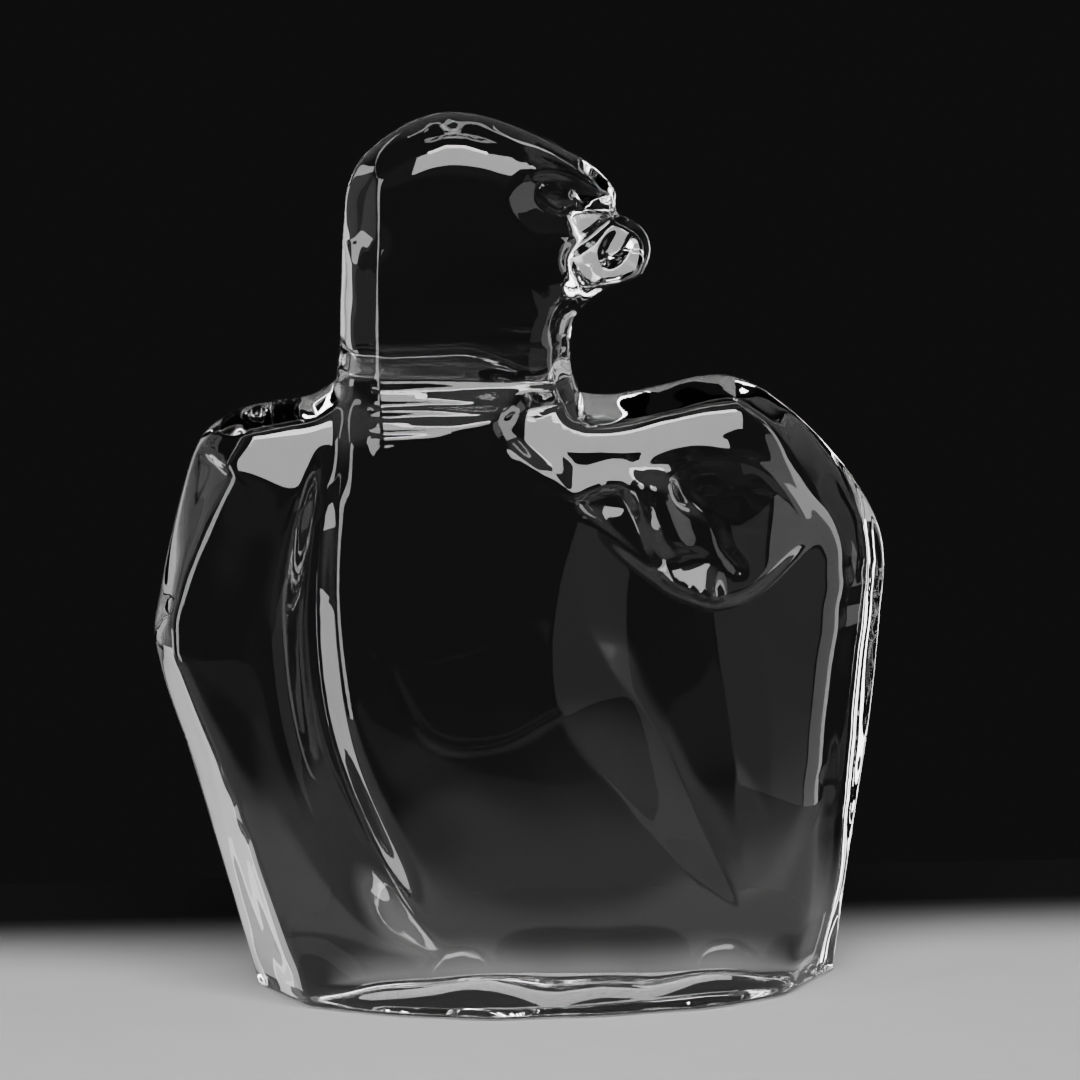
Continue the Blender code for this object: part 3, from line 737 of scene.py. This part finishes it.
@dataclass
class NearShoulder:
    """The near shoulder: it rolls over from its top, folds, and hangs over the leaf in a crest."""

    depth: float = 31.5
    roll: float = 13.2
    roll_length: float = 17.0
    roll_lift: float = 0.4
    roll_blend: float = 1.5
    neck_fade: Fade = Fade(-17, 12)
    outer_fade: Fade = Fade(69, -33)
    crest_fade: Fade = Fade(-2, 4)
    top_fade: Fade = Fade(153.5, -4)
    hood_height: float = 1.6
    hood_height_at_neck: float = 2.5
    hood_length: float = 4.7
    hood_length_at_neck: float = 8.5
    hood_back: float = 3.0
    at_neck: Fade = Fade(9, -9)
    hood_start: Fade = Fade(-8, 8)
    hood_end: Fade = Fade(23, -3)
    hollow_depth: float = 1.6
    hollow_from_hood: Fade = Fade(0, -4)
    hollow_from_crest: Fade = Fade(0, 3)
    hollow_from_wall: Fade = Fade(0, -2)
    nose_height: float = 4.8
    nose_length: float = 8.0
    nose_start: float = 1.0
    nose_across: float = 33.5
    nose_half_width: float = 7.0
    wall_height: float = 4.0
    wall_width: float = 4.9
    wall_back: float = 9.0
    wall_top: Fade = Fade(137, -6)
    wall_foot: Fade = Fade(112, 7)
    fold_depth: float = 1.3
    fold_width: float = 1.6
    small_dimple_depth: float = 1.2
    large_dimple_depth: float = 1.7
    island_share: float = 0.6
    island_radii: float = 0.6
    arc_height: float = 0.35
    arc_width: float = 1.1
    top: Line = Line(((-14, 147.5), (-2, 150), (10.6, 149.3)))
    crest: Line = Line(((-13, 145), (-2.5, 136.3), (11, 121), (30.6, 106.2), (42, 103), (64, 116)))
    hood_edge: Line = Line(((-8, 136), (0, 132), (4.5, 130.3), (9, 131.6), (13, 132.6), (17, 132.3),
                            (20, 129.5), (23, 124), (27, 113), (32, 100)))
    wall: Line = Line(((17.5, 137), (18.3, 131), (20, 125), (22.5, 118), (25.5, 111), (29, 103)))
    fold: Line = Line(((30, 133), (32, 129), (36, 125.5), (39.5, 121), (40.5, 117), (45, 111)))
    arcs: tuple[Line, ...] = (
        Line(((22, 136), (25, 138.5), (30, 140.3), (36, 140.8), (42, 140))),
        Line(((29, 132), (31, 135.5), (35, 137.5), (40, 138), (46, 137), (50, 135.5), (54, 132.5), (58, 128),
              (62, 122))),
    )
    small_dimple: Oval = Oval(14, 128, 4.2, 3.4, -20)
    large_dimple: Oval = Oval(38.5, 131.5, 7.5, 5.4, -8)

    def folds(self, x: np.ndarray, z: np.ndarray, over_crest: np.ndarray) -> np.ndarray:
        """The hood, hollow, nose, wall, folds and dimples of the shoulder.

        The hood falls straight from its edge and the wall rises straight from its line. The nose falls
        straight from the crest, kept to its width by exp(-u^6). The hollow is a product of S-shaped
        falls, the fold and the arcs are bells, and each dimple is exp(-r^3) of its radii.

        Args:
            x: Places across the sheet.
            z: Places up the sheet.
            over_crest: Distance above the crest.

        Returns:
            How far they stand proud of the shoulder.
        """
        at_neck = self.at_neck.at(x)
        height = self.hood_height + (self.hood_height_at_neck - self.hood_height) * at_neck
        length = self.hood_length + (self.hood_length_at_neck - self.hood_length) * at_neck
        over_hood = self.hood_edge.signed(x, z)
        past_wall = self.wall.signed(x, z)
        front, behind = np.clip(1 - over_hood / length, 0, 1), ramp(1 + over_hood / self.hood_back)
        hood = height * np.where(over_hood > 0, front, behind) * self.hood_start.at(x) * self.hood_end.at(x)
        hollow = self.hollow_depth * self.hollow_from_hood.at(over_hood)
        hollow = hollow * self.hollow_from_crest.at(over_crest) * self.hollow_from_wall.at(past_wall)
        nose = np.clip(1 - (over_crest - self.nose_start) / self.nose_length, 0, 1)
        nose = self.nose_height * nose * np.exp(-((x - self.nose_across) / self.nose_half_width) ** 6)
        behind_wall = ramp((past_wall - self.wall_width) / self.wall_back)
        wall = np.clip(past_wall / self.wall_width, 0, 1) * (1 - behind_wall)
        wall = self.wall_height * wall * self.wall_top.at(z) * self.wall_foot.at(z)
        fold = self.fold_depth * bell(self.fold.distance(x, z), self.fold_width)
        out = self.large_dimple.radii(x, z)
        island = self.island_share * bell(out, self.island_radii)
        dimples = (self.small_dimple_depth * np.exp(-self.small_dimple.radii(x, z) ** 3)
                   + self.large_dimple_depth * (np.exp(-out ** 3) - island))
        arcs = sum(self.arc_height * bell(arc.distance(x, z), self.arc_width) for arc in self.arcs)
        return hood - hollow + nose + wall - fold - dimples + arcs

    def height(self, x: np.ndarray, z: np.ndarray, depth: np.ndarray, rim: np.ndarray) -> np.ndarray:
        """The skin's height with the shoulder laid over the breast and wing.

        The shoulder falls from its top by an exponential of the distance below it. Away from the neck
        it gives way to the lower of itself and what lies beneath.

        Args:
            x: Places across the sheet.
            z: Places up the sheet.
            depth: The height of the breast, neck and wing.
            rim: The rim over the shoulder, from the neck outwards.

        Returns:
            The height with the shoulder.
        """
        distance, side, _ = off_runs(x, z, np.concatenate([self.top.runs()[:-1], rim]))
        below_top = np.where(side < 0, distance, 0)
        roll = self.depth - self.roll * np.exp(-below_top / self.roll_length)
        over_crest = self.crest.signed(x, z)
        rolled = lower(depth, roll + self.roll_lift * below_top, self.roll_blend)
        mass = rolled + (roll - rolled) * self.outer_fade.at(x) + self.folds(x, z, over_crest)
        share = self.crest_fade.at(over_crest) * self.top_fade.at(z)
        return depth + (rolled + (mass - rolled) * share - depth) * self.neck_fade.at(x)


@dataclass
class Head:
    """The head: the crown rolls forward, the cheek turns away, and the eye lies under the brow."""

    crown_roll: float = 8.0
    crown_length: float = 10.5
    crown_edge: float = 4.0
    crown_fade: Fade = Fade(172, 28)
    cheek_slope: float = 0.34
    cheek_blend: float = 1.5
    cheek_foot: Fade = Fade(154, 8)
    cheek_across: Fade = Fade(-14, 4)
    socket_depth: float = 1.9
    socket_rim: float = 1.1
    socket_wall: float = 0.62
    eyeball_rise: float = 1.5
    eyeball_rim: float = 1.02
    brow_rise: float = 0.8
    brow_width: float = 1.6
    beak_top_depth: float = 5.5
    beak_slope: float = 0.56
    beak_top: float = 196.0
    beak_drop: float = 17.0
    beak_across: Fade = Fade(2, 6)
    beak_foot: Fade = Fade(170, 7)
    beak_brow: Fade = Fade(200, -5)
    nostril_depth: float = 1.5
    nostril_lean: float = 0.5
    cere_depth: float = 1.0
    cere_width: float = 1.4
    cheek: Line = Line(((22, 207), (-3, 207.5), (-11, 197), (-5.3, 180), (1, 168.7), (3, 150)))
    cere: Line = Line(((18, 195.5), (11, 190.5), (4.5, 185.5), (8, 177)))
    brow: Line = Line(((-3, 206.6), (1, 206.8), (6, 205.2), (12, 201.5)))
    socket: Oval = Oval(1.5, 199, 11.5, 7.2, -24)
    eyeball: Oval = Oval(3, 199.3, 6.6, 3.4, -30)
    nostril: Oval = Oval(16.6, 188.6, 5.0, 2.9, 58)

    def face(self, x: np.ndarray, z: np.ndarray, depth: np.ndarray, crown: np.ndarray) -> np.ndarray:
        """The skin's height with the crown, the cheek and the eye.

        The crown falls by an exponential of the distance to its rim, the cheek turns away at a slope
        with a hyperbola at its edge, the socket has a straight wall, and the eyeball is half an
        ellipsoid.

        Args:
            x: Places across the sheet.
            z: Places up the sheet.
            depth: The height of the neck and body.
            crown: The rim over the head.

        Returns:
            The height with the face.
        """
        below = np.clip(soft_distance(x, z, crown) - self.crown_edge, 0, None)
        depth = depth - self.crown_roll * np.exp(-below / self.crown_length) * self.crown_fade.at(z)
        past_cheek = self.cheek.signed(x, z)
        turned = 0.5 * (past_cheek + np.sqrt(past_cheek ** 2 + self.cheek_blend ** 2))
        depth = depth - self.cheek_slope * turned * self.cheek_foot.at(z) * self.cheek_across.at(x)
        sunk = np.clip((self.socket_rim - self.socket.radii(x, z)) / self.socket_wall, 0, 1)
        depth = depth - self.socket_depth * sunk
        depth = depth + self.brow_rise * bell(self.brow.distance(x, z), self.brow_width)
        ball = np.sqrt(np.clip(self.eyeball_rim - self.eyeball.radii(x, z) ** 2, 0, None))
        return depth + self.eyeball_rise * ball

    def beak(self, x: np.ndarray, z: np.ndarray, depth: np.ndarray) -> np.ndarray:
        """The skin's height with the beak: a face that leans out as it hooks down.

        The nostril is exp(-r^4) of its radii, deeper towards its lower end, and the cere's edge a bell.

        Args:
            x: Places across the sheet.
            z: Places up the sheet.
            depth: The height of the head.

        Returns:
            The height with the beak.
        """
        face = self.beak_top_depth + self.beak_slope * np.clip(self.beak_top - z, 0, self.beak_drop)
        share = self.beak_across.at(x) * self.beak_foot.at(z) * self.beak_brow.at(z)
        lean = 1 - self.nostril_lean * (z - self.nostril.up) / self.nostril.half_length
        nostril = self.nostril_depth * np.exp(-self.nostril.radii(x, z) ** 4) * lean
        cere = self.cere_depth * bell(self.cere.distance(x, z), self.cere_width)
        return depth + (face - nostril - depth) * share - cere


@dataclass
class Back:
    """The plainer back: flat, a step thinner at the neck and the beak."""

    depth: float = 22.0
    swell_share: float = 0.12
    swell: Oval = Oval(-5, 60, 60, 80)
    rim_share: float = 0.8
    rim_gain: float = 0.36
    rim_length: float = 12.0
    level_below: float = 100.0
    neck_depth: float = 15.0
    neck_foot: float = 162.0
    neck_drop: float = 10.0
    neck_drop_fade: Fade = Fade(-20, 25)
    neck_step: float = 14.0
    beak_depth: float = 9.5
    beak_across: Fade = Fade(3, 8)
    beak_foot: Fade = Fade(166, 8)
    beak_brow: Fade = Fade(199, -6)
    knob: Oval = Oval(15, 185.5, 11.5, 10)
    knob_blend: float = 0.1

    def height(self, x: np.ndarray, z: np.ndarray, outline: Outline) -> np.ndarray:
        """The back skin's height off the sheet.

        The body is a flat face with a faint bell-shaped swell, thinner near the upper rims by an
        exponential of the distance to them. The neck is an S-shaped step thinner, and the beak half an
        ellipsoid drawn out towards the head.

        Args:
            x: Places across the sheet.
            z: Places up the sheet.
            outline: The bird's silhouette.

        Returns:
            The height before the facets cut it.
        """
        near_top = np.minimum(outline.wing.distance(x, z), outline.beak_side.distance(x, z))
        swell = bell(self.swell.radii(x, z), 1.0)
        broad = self.depth * (1 - self.swell_share + self.swell_share * swell)
        shoulder = self.depth * (self.rim_share + self.rim_gain * (1 - np.exp(-near_top / self.rim_length)))
        foot = self.neck_foot - self.neck_drop * self.neck_drop_fade.at(x)
        body = ramp((foot - z) / self.neck_step)
        depth = self.neck_depth + (np.minimum(broad, shoulder) - self.neck_depth) * body
        depth = np.where(z > self.level_below, depth, broad)
        at_beak = self.beak_across.at(x) * self.beak_foot.at(z) * self.beak_brow.at(z)
        out = self.knob.radii(np.maximum(x, self.knob.across), z)
        knob = self.beak_depth * np.sqrt(np.clip(1 - out ** 2, 0, None) + self.knob_blend)
        return depth + (knob - depth) * at_beak


@dataclass(frozen=True)
class ClearGlass:
    """Clear colourless glass, bright from the fire."""

    ior: float = 1.52
    roughness: float = 0.0

    def material(self) -> bpy.types.Material:
        """The glass as a Principled shader with plain values.

        Returns:
            The material.
        """
        material = bpy.data.materials.new("clear_glass")
        material.use_nodes = True
        shader = material.node_tree.nodes["Principled BSDF"]
        shader.inputs["Base Color"].default_value = (1.0, 1.0, 1.0, 1.0)
        shader.inputs["Roughness"].default_value = self.roughness
        shader.inputs["IOR"].default_value = self.ior
        shader.inputs["Transmission Weight"].default_value = 1.0
        return material


@dataclass
class GlassEagle:
    """The sculpture: a front and a back skin that spring from one rim and close on the underside."""

    front_columns: tuple[int, int] = (25, 82)
    back_columns: tuple[int, int] = (18, 16)
    first_row: float = 0.3
    edge_band: float = 7.0
    most_band: float = 0.6
    edge_power: float = 1.5
    base_round: float = 1.2
    far_fade: Fade = Fade(-49, -5)
    ripple_height: float = 0.018
    ripple_up: float = 3.9
    ripple_bend: float = 1.5
    bend_length: float = 9.7
    bend_sway: Swell = Swell(0.8, 14)
    slant_across: float = 4.7
    slant_up: float = 6.1
    fine_ripple: Swell = Swell(0.8, 2.9)
    foot_depth: float = 0.9
    foot_height: float = 15.0
    long_turn: Swell = Swell(0.8, 10.5, 0.6)
    short_turn: Swell = Swell(0.35, 4.3, 2)
    thinnest: float = 3.0
    sharp_angle: float = 50.0
    finish: ClearGlass = ClearGlass()

    def __post_init__(self) -> None:
        """Draws the outline and sets out the carving."""
        self.outline = Outline()
        self.breast, self.leaf, self.far_shoulder = Breast(), Leaf(), FarShoulder()
        self.neck, self.near_shoulder, self.head, self.back = Neck(), NearShoulder(), Head(), Back()

    def front_height(self, x: np.ndarray, z: np.ndarray) -> np.ndarray:
        """The front skin's height off the sheet before the facets cut it.

        Args:
            x: Places across the sheet.
            z: Places up the sheet.

        Returns:
            The height, with all the carving and nowhere under the least thickness.
        """
        body = self.breast.height(x, z) - self.leaf.hollow(x, z) - self.breast.relief(x, z)
        far = self.far_shoulder.bevel(z, body)
        middle = self.neck.height(x, z, body)
        height = middle + (far - middle) * self.far_fade.at(x) - self.far_shoulder.groove(x, z)
        rim = self.outline.beak_side.part(*stretch_marks(Stretch.SHOULDER))[::-1]
        height = self.near_shoulder.height(x, z, height, rim)
        height = self.head.face(x, z, height, self.outline.crown())
        return np.maximum(self.head.beak(x, z, height), self.thinnest)

    def back_height(self, x: np.ndarray, z: np.ndarray) -> np.ndarray:
        """The back skin's height off the sheet before the facets cut it."""
        return np.maximum(self.back.height(x, z, self.outline), self.thinnest)

    def ripple(self, x: np.ndarray, z: np.ndarray) -> np.ndarray:
        """The faint unevenness that the fire leaves: three low sine waves, the first bent by a fourth.

        Args:
            x: Places across the sheet.
            z: Places up the sheet.

        Returns:
            The amount added to the skin's height.
        """
        bend = np.sin(x / self.bend_length + self.bend_sway.at(z))
        upward = np.sin(z / self.ripple_up + self.ripple_bend * bend)
        slanting = np.sin(x / self.slant_across + z / self.slant_up)
        return self.ripple_height * (upward + slanting + self.fine_ripple.at(x))

    def foot(self, x: np.ndarray, z: np.ndarray) -> np.ndarray:
        """How far the skin draws in at the foot: a parabola, deeper and shallower by turns across."""
        turn = 1 + self.long_turn.at(x) + self.short_turn.at(x)
        return self.foot_depth * turn * (1 - np.clip(z / self.foot_height, 0, 1)) ** 2

    def places(self, rim: Rim, columns: tuple[int, int]) -> np.ndarray:
        """Places from the rim to the spine, row by row.

        A row is a straight line. Its first columns, spaced by a power, cover the facet and its corner,
        and the others are even.

        Args:
            rim: The rim that the rows start from.
            columns: How many columns lie by the rim and further in.

        Returns:
            Places as rows, columns and (across, up).
        """
        marks = np.r_[0.0, self.first_row / ALL_ROWS, np.arange(1, ALL_ROWS + 1) / ALL_ROWS]
        edge, inset = rim.at(marks)
        spine = smooth_curve(*self.outline.spine, marks)
        length = np.hypot(*(spine - edge).T)
        band = (np.minimum(inset + self.edge_band, self.most_band * length) / length)[:, None]
        share = np.concatenate([band * np.linspace(0, 1, columns[0] + 1) ** self.edge_power,
                                band + (1 - band) * np.linspace(0, 1, columns[1] + 1)[1:]], axis=1)
        return edge[:, None] + (spine - edge)[:, None] * share[..., None]

    def skin(self, side: Side) -> np.ndarray:
        """One skin, as rows of points from the far wing's rim over the spine to the beak side's rim.

        Args:
            side: Which skin.

        Returns:
            Points as rows, columns and (x, y, z), in millimetres.
        """
        columns = self.front_columns if side is Side.FRONT else self.back_columns
        wing, beak_side = self.outline.wing, self.outline.beak_side
        from_wing, from_beak = self.places(wing, columns), self.places(beak_side, columns)
        places = np.concatenate([from_wing, from_beak[:, -2::-1]], axis=1)
        x, z = places[..., 0], places[..., 1]
        depth = self.front_height(x, z) if side is Side.FRONT else self.back_height(x, z)
        depth = depth - self.foot(x, z) + self.ripple(x, z)
        height = np.minimum(wing.cut(x, z, depth, side), beak_side.cut(x, z, depth, side))
        lip = np.clip(self.base_round - z, 0, self.base_round)
        height = np.maximum(height - self.base_round + np.sqrt(self.base_round ** 2 - lip ** 2), 0)
        height[:, [0, -1]] = 0.0
        return np.stack([x, side.value * height, z], axis=-1)

    def mesh(self) -> bpy.types.Mesh:
        """Both skins welded at the rim, folded together at the crown and closed by the underside.

        A skin's last row runs along the crown to the spine's end and back along the same places, so its
        second half takes the points of its first.

        Returns:
            The closed mesh, in metres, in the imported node's own box.
        """
        front, back = self.skin(Side.FRONT), self.skin(Side.BACK)
        numbers = []
        first = 0
        for points in (front, back):
            rows, columns = points.shape[:2]
            grid = first + np.arange(rows * columns).reshape(rows, columns)
            grid[-1, columns // 2 + 1:] = grid[-1, :columns // 2][::-1]
            numbers.append(grid)
            first += rows * columns
        numbers[1][:, [0, -1]] = numbers[0][:, [0, -1]]
        faces = []
        for grid, step in zip(numbers, (1, -1)):
            corners = np.stack([grid[:-1, :-1], grid[:-1, 1:], grid[1:, 1:], grid[1:, :-1]], axis=-1)
            faces.append(corners.reshape(-1, 4)[:, ::step])
        underside = np.r_[numbers[0][0][::-1], numbers[1][0][1:-1]]
        faces = np.concatenate(faces)
        used, compact = np.unique(np.r_[faces.ravel(), underside], return_inverse=True)
        points = self.into_box(np.concatenate([front.reshape(-1, 3), back.reshape(-1, 3)])[used])
        quads, ends = compact[:faces.size].reshape(-1, 4), compact[faces.size:]
        mesh = bpy.data.meshes.new("eagle_casting")
        mesh.from_pydata(points, [], quads.tolist() + [ends.tolist()])
        mesh.validate()
        mesh.shade_smooth()
        mesh.set_sharp_from_angle(angle=math.radians(self.sharp_angle))
        return mesh

    def into_box(self, points: np.ndarray) -> np.ndarray:
        """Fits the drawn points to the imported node's box.

        Args:
            points: Points as (x, y, z), one a row, in millimetres.

        Returns:
            The points in metres, each axis moved and stretched onto the box.
        """
        low, high = (np.array(corner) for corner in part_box(NODE))
        least, most = points.min(axis=0), points.max(axis=0)
        return low + (points - least) * (high - low) / (most - least)

    def make(self) -> bpy.types.Object:
        """Makes the casting, dresses it and gives it to the frame.

        Returns:
            The finished piece.
        """
        mesh = self.mesh()
        mesh.materials.append(self.finish.material())
        piece = bpy.data.objects.new("eagle_casting", mesh)
        bpy.context.scene.collection.objects.link(piece)
        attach(piece, "root")
        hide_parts(NODE)
        LOG.info("%s: %d points", piece.name, len(mesh.vertices))
        return piece


@dataclass(frozen=True)
class PaintedLightFloor:
    """Studio paper with painted light and shade: painted dim light in front with one painted lighter band, a
    painted pool of light under the sculpture, and painted darkness behind it.
    """

    # Painted tones: a pool of light under the sculpture, dim light in front, darkness behind, and a lighter
    # band of light in front.
    painted_pool_of_light: float = 0.33
    painted_dim_light: float = 0.015
    painted_darkness: float = 0.006
    roughness: float = 0.75
    grain: float = 60.0
    grain_depth: float = 0.03
    front: float = -1.2
    back: float = 0.10
    painted_light_band: float = 0.06
    painted_light_stops: tuple[tuple[float, str], ...] = ((-0.50, "painted_dim_light"), (-0.46, "painted_light_band"), (-0.34, "painted_light_band"), (-0.28, "painted_dim_light"),
                                            (-0.19, "painted_dim_light"), (-0.12, "painted_pool_of_light"), (0.01, "painted_pool_of_light"), (0.065, "painted_darkness"))

    def material(self) -> bpy.types.Material:
        """Painted light and shade in the paper's colour along Y, from the floor's front edge to its back
        edge, with a faint grain.

        Returns:
            The material.
        """
        material = bpy.data.materials.new("floor_with_painted_light")
        material.use_nodes = True
        nodes, links = material.node_tree.nodes, material.node_tree.links
        shader = nodes["Principled BSDF"]
        shader.inputs["Roughness"].default_value = self.roughness
        shader.inputs["Specular IOR Level"].default_value = 0.0
        place = nodes.new("ShaderNodeTexCoord")
        parts = nodes.new("ShaderNodeSeparateXYZ")
        along = nodes.new("ShaderNodeMapRange")
        along.inputs["From Min"].default_value = self.front
        along.inputs["From Max"].default_value = self.back
        painted_light_ramp = nodes.new("ShaderNodeValToRGB")
        painted_light_ramp.color_ramp.interpolation = "EASE"
        while len(painted_light_ramp.color_ramp.elements) < len(self.painted_light_stops):
            painted_light_ramp.color_ramp.elements.new(0.5)
        # Each stop paints light or shade into the floor's colour along Y: lit under the sculpture, dark
        # behind it.
        for element, (y, name) in zip(painted_light_ramp.color_ramp.elements, self.painted_light_stops):
            tone = getattr(self, name)
            element.position = (y - self.front) / (self.back - self.front)
            element.color = (tone, tone, tone, 1.0)
        noise = nodes.new("ShaderNodeTexNoise")
        noise.inputs["Scale"].default_value = self.grain
        grain = nodes.new("ShaderNodeMapRange")
        grain.inputs["To Min"].default_value = 1.0 - self.grain_depth
        grain.inputs["To Max"].default_value = 1.0 + self.grain_depth
        mixed = nodes.new("ShaderNodeVectorMath")
        mixed.operation = "SCALE"
        links.new(place.outputs["Object"], parts.inputs["Vector"])
        links.new(parts.outputs["Y"], along.inputs["Value"])
        links.new(along.outputs["Result"], painted_light_ramp.inputs["Fac"])
        links.new(place.outputs["Object"], noise.inputs["Vector"])
        links.new(noise.outputs["Fac"], grain.inputs["Value"])
        links.new(painted_light_ramp.outputs["Color"], mixed.inputs[0])
        links.new(grain.outputs["Result"], mixed.inputs["Scale"])
        links.new(mixed.outputs["Vector"], shader.inputs["Base Color"])
        return material


@dataclass(frozen=True)
class Softbox:
    """A soft rectangular light, aimed at a point. Lengths in metres."""

    name: str
    place: tuple[float, float, float]
    aim: tuple[float, float, float]
    width: float
    height: float
    radiance: float
    turn: float = 0.0

    def make(self) -> bpy.types.Object:
        """Hangs the light, turned about its own axis. Its power is radiance times pi times its area.

        Returns:
            The lamp's object.
        """
        light = bpy.data.lights.new(self.name, "AREA")
        light.shape = "RECTANGLE"
        light.size, light.size_y = self.width, self.height
        light.energy = self.radiance * math.pi * self.width * self.height
        lamp = bpy.data.objects.new(self.name, light)
        lamp.location = self.place
        aimed = (Vector(self.aim) - Vector(self.place)).to_track_quat("-Z", "Y").to_matrix()
        lamp.rotation_euler = (aimed @ Matrix.Rotation(math.radians(self.turn), 3, "Z")).to_euler()
        bpy.context.scene.collection.objects.link(lamp)
        return lamp


@dataclass
class Studio:
    """The floor, the soft lights and the dim room around the sculpture. Lengths in metres."""

    floor_half_width: float = 0.25
    below: float = 0.0003
    room: tuple[float, float, float] = (0.0075, 0.0072, 0.0076)
    # The floor's colour carries painted light: a pool of light under the sculpture and painted darkness
    # behind it.
    painted_light_floor: PaintedLightFloor = PaintedLightFloor()
    lights: tuple[Softbox, ...] = (
        Softbox("overhead", (0.03, -0.60, 0.80), (0.0, 0.0, 0.10), 0.90, 0.42, 10.0),
        Softbox("strip", (0.0, -0.42, 0.96), (0.0, 0.0, 0.10), 0.60, 0.12, 30.0),
        Softbox("ceiling_1", (-0.55, 0.15, 0.62), (0.0, 0.0, 0.20), 0.06, 0.55, 4.0, 50.0),
        Softbox("ceiling_2", (-0.16, 0.15, 0.90), (-0.1, 0.0, 0.20), 0.05, 0.60, 4.0, 50.0),
        Softbox("ceiling_3", (0.12, 0.15, 0.90), (0.06, 0.0, 0.20), 0.07, 0.60, 4.0, -50.0),
        Softbox("ceiling_4", (0.45, 0.15, 0.82), (0.0, 0.0, 0.20), 0.05, 0.55, 4.0, -50.0),
        Softbox("ceiling_5", (0.75, 0.15, 0.65), (0.0, 0.0, 0.20), 0.06, 0.50, 4.0, -40.0),
        Softbox("left_strip", (-0.62, -0.23, 0.10), (0.0, 0.0, 0.10), 0.20, 0.90, 7.0),
        Softbox("right_strip", (0.62, -0.08, 0.10), (0.0, 0.0, 0.10), 0.12, 0.90, 5.0),
        Softbox("right_dim", (0.62, -0.26, 0.12), (0.0, 0.0, 0.15), 0.24, 0.50, 1.4),
        Softbox("left_back", (-0.60, 0.22, 0.0), (0.0, 0.0, 0.05), 0.24, 0.90, 0.28),
        Softbox("right_back", (0.515, 0.305, 0.05), (-0.07, 0.02, 0.05), 0.26, 0.20, 0.80),
        Softbox("groove_card", (0.2375, 0.293, 0.004), (-0.055, 0.02, 0.06), 0.09, 0.05, 0.40),
        Softbox("right_card", (0.42, -0.50, -0.05), (0.0, 0.0, 0.08), 0.36, 0.34, 0.35),
    )

    def make(self) -> None:
        """Lays the floor, hangs the lights and dims the room."""
        mesh = bpy.data.meshes.new("floor")
        paper, half = self.painted_light_floor, self.floor_half_width
        mesh.from_pydata([(x, y, -self.below) for x, y in ((-half, paper.front), (half, paper.front),
                                                           (half, paper.back), (-half, paper.back))],
                         [], [(0, 1, 2, 3)])
        mesh.materials.append(paper.material())
        floor = bpy.data.objects.new("floor", mesh)
        bpy.context.scene.collection.objects.link(floor)
        for light in self.lights:
            light.make()
        world = bpy.data.worlds.new("dim_room")
        world.use_nodes = True
        world.node_tree.nodes["Background"].inputs["Color"].default_value = (*self.room, 1.0)
        bpy.context.scene.world = world
        LOG.info("studio: %d lights", len(self.lights))


@dataclass(frozen=True)
class Viewpoint:
    """The camera, at the photograph's angle. The foot is where the origin falls in its frame."""

    azimuth: float = -5.0
    elevation: float = 12.5
    distance: float = 1.6
    focal_pixels: float = 6352.0
    frame_pixels: float = 1080.0
    foot_across: float = 545.0
    foot_down: float = 976.5
    sensor: float = 36.0

    def make(self) -> bpy.types.Object:
        """Sets up the camera.

        Returns:
            The camera's object.
        """
        az, el = math.radians(self.azimuth), math.radians(self.elevation)
        right = Vector((math.cos(az), math.sin(az), 0.0))
        ahead = Vector((-math.sin(az) * math.cos(el), math.cos(az) * math.cos(el), -math.sin(el)))
        up = right.cross(ahead)
        scale = self.distance / self.focal_pixels
        across = (self.foot_across - self.frame_pixels / 2) * scale
        down = (self.foot_down - self.frame_pixels / 2) * scale
        data = bpy.data.cameras.new("camera")
        data.sensor_width = self.sensor
        data.lens = self.sensor * self.focal_pixels / self.frame_pixels
        camera = bpy.data.objects.new("camera", data)
        turn = Matrix((right, up, -ahead)).transposed().to_4x4()
        camera.matrix_world = Matrix.Translation(-self.distance * ahead - across * right + down * up) @ turn
        bpy.context.scene.collection.objects.link(camera)
        bpy.context.scene.camera = camera
        return camera


def main() -> None:
    """Builds the sculpture, the studio and the camera."""
    logging.basicConfig(level=logging.INFO, format="%(name)s: %(message)s")
    GlassEagle().make()
    Studio().make()
    Viewpoint().make()


if __name__ == "__main__":
    main()
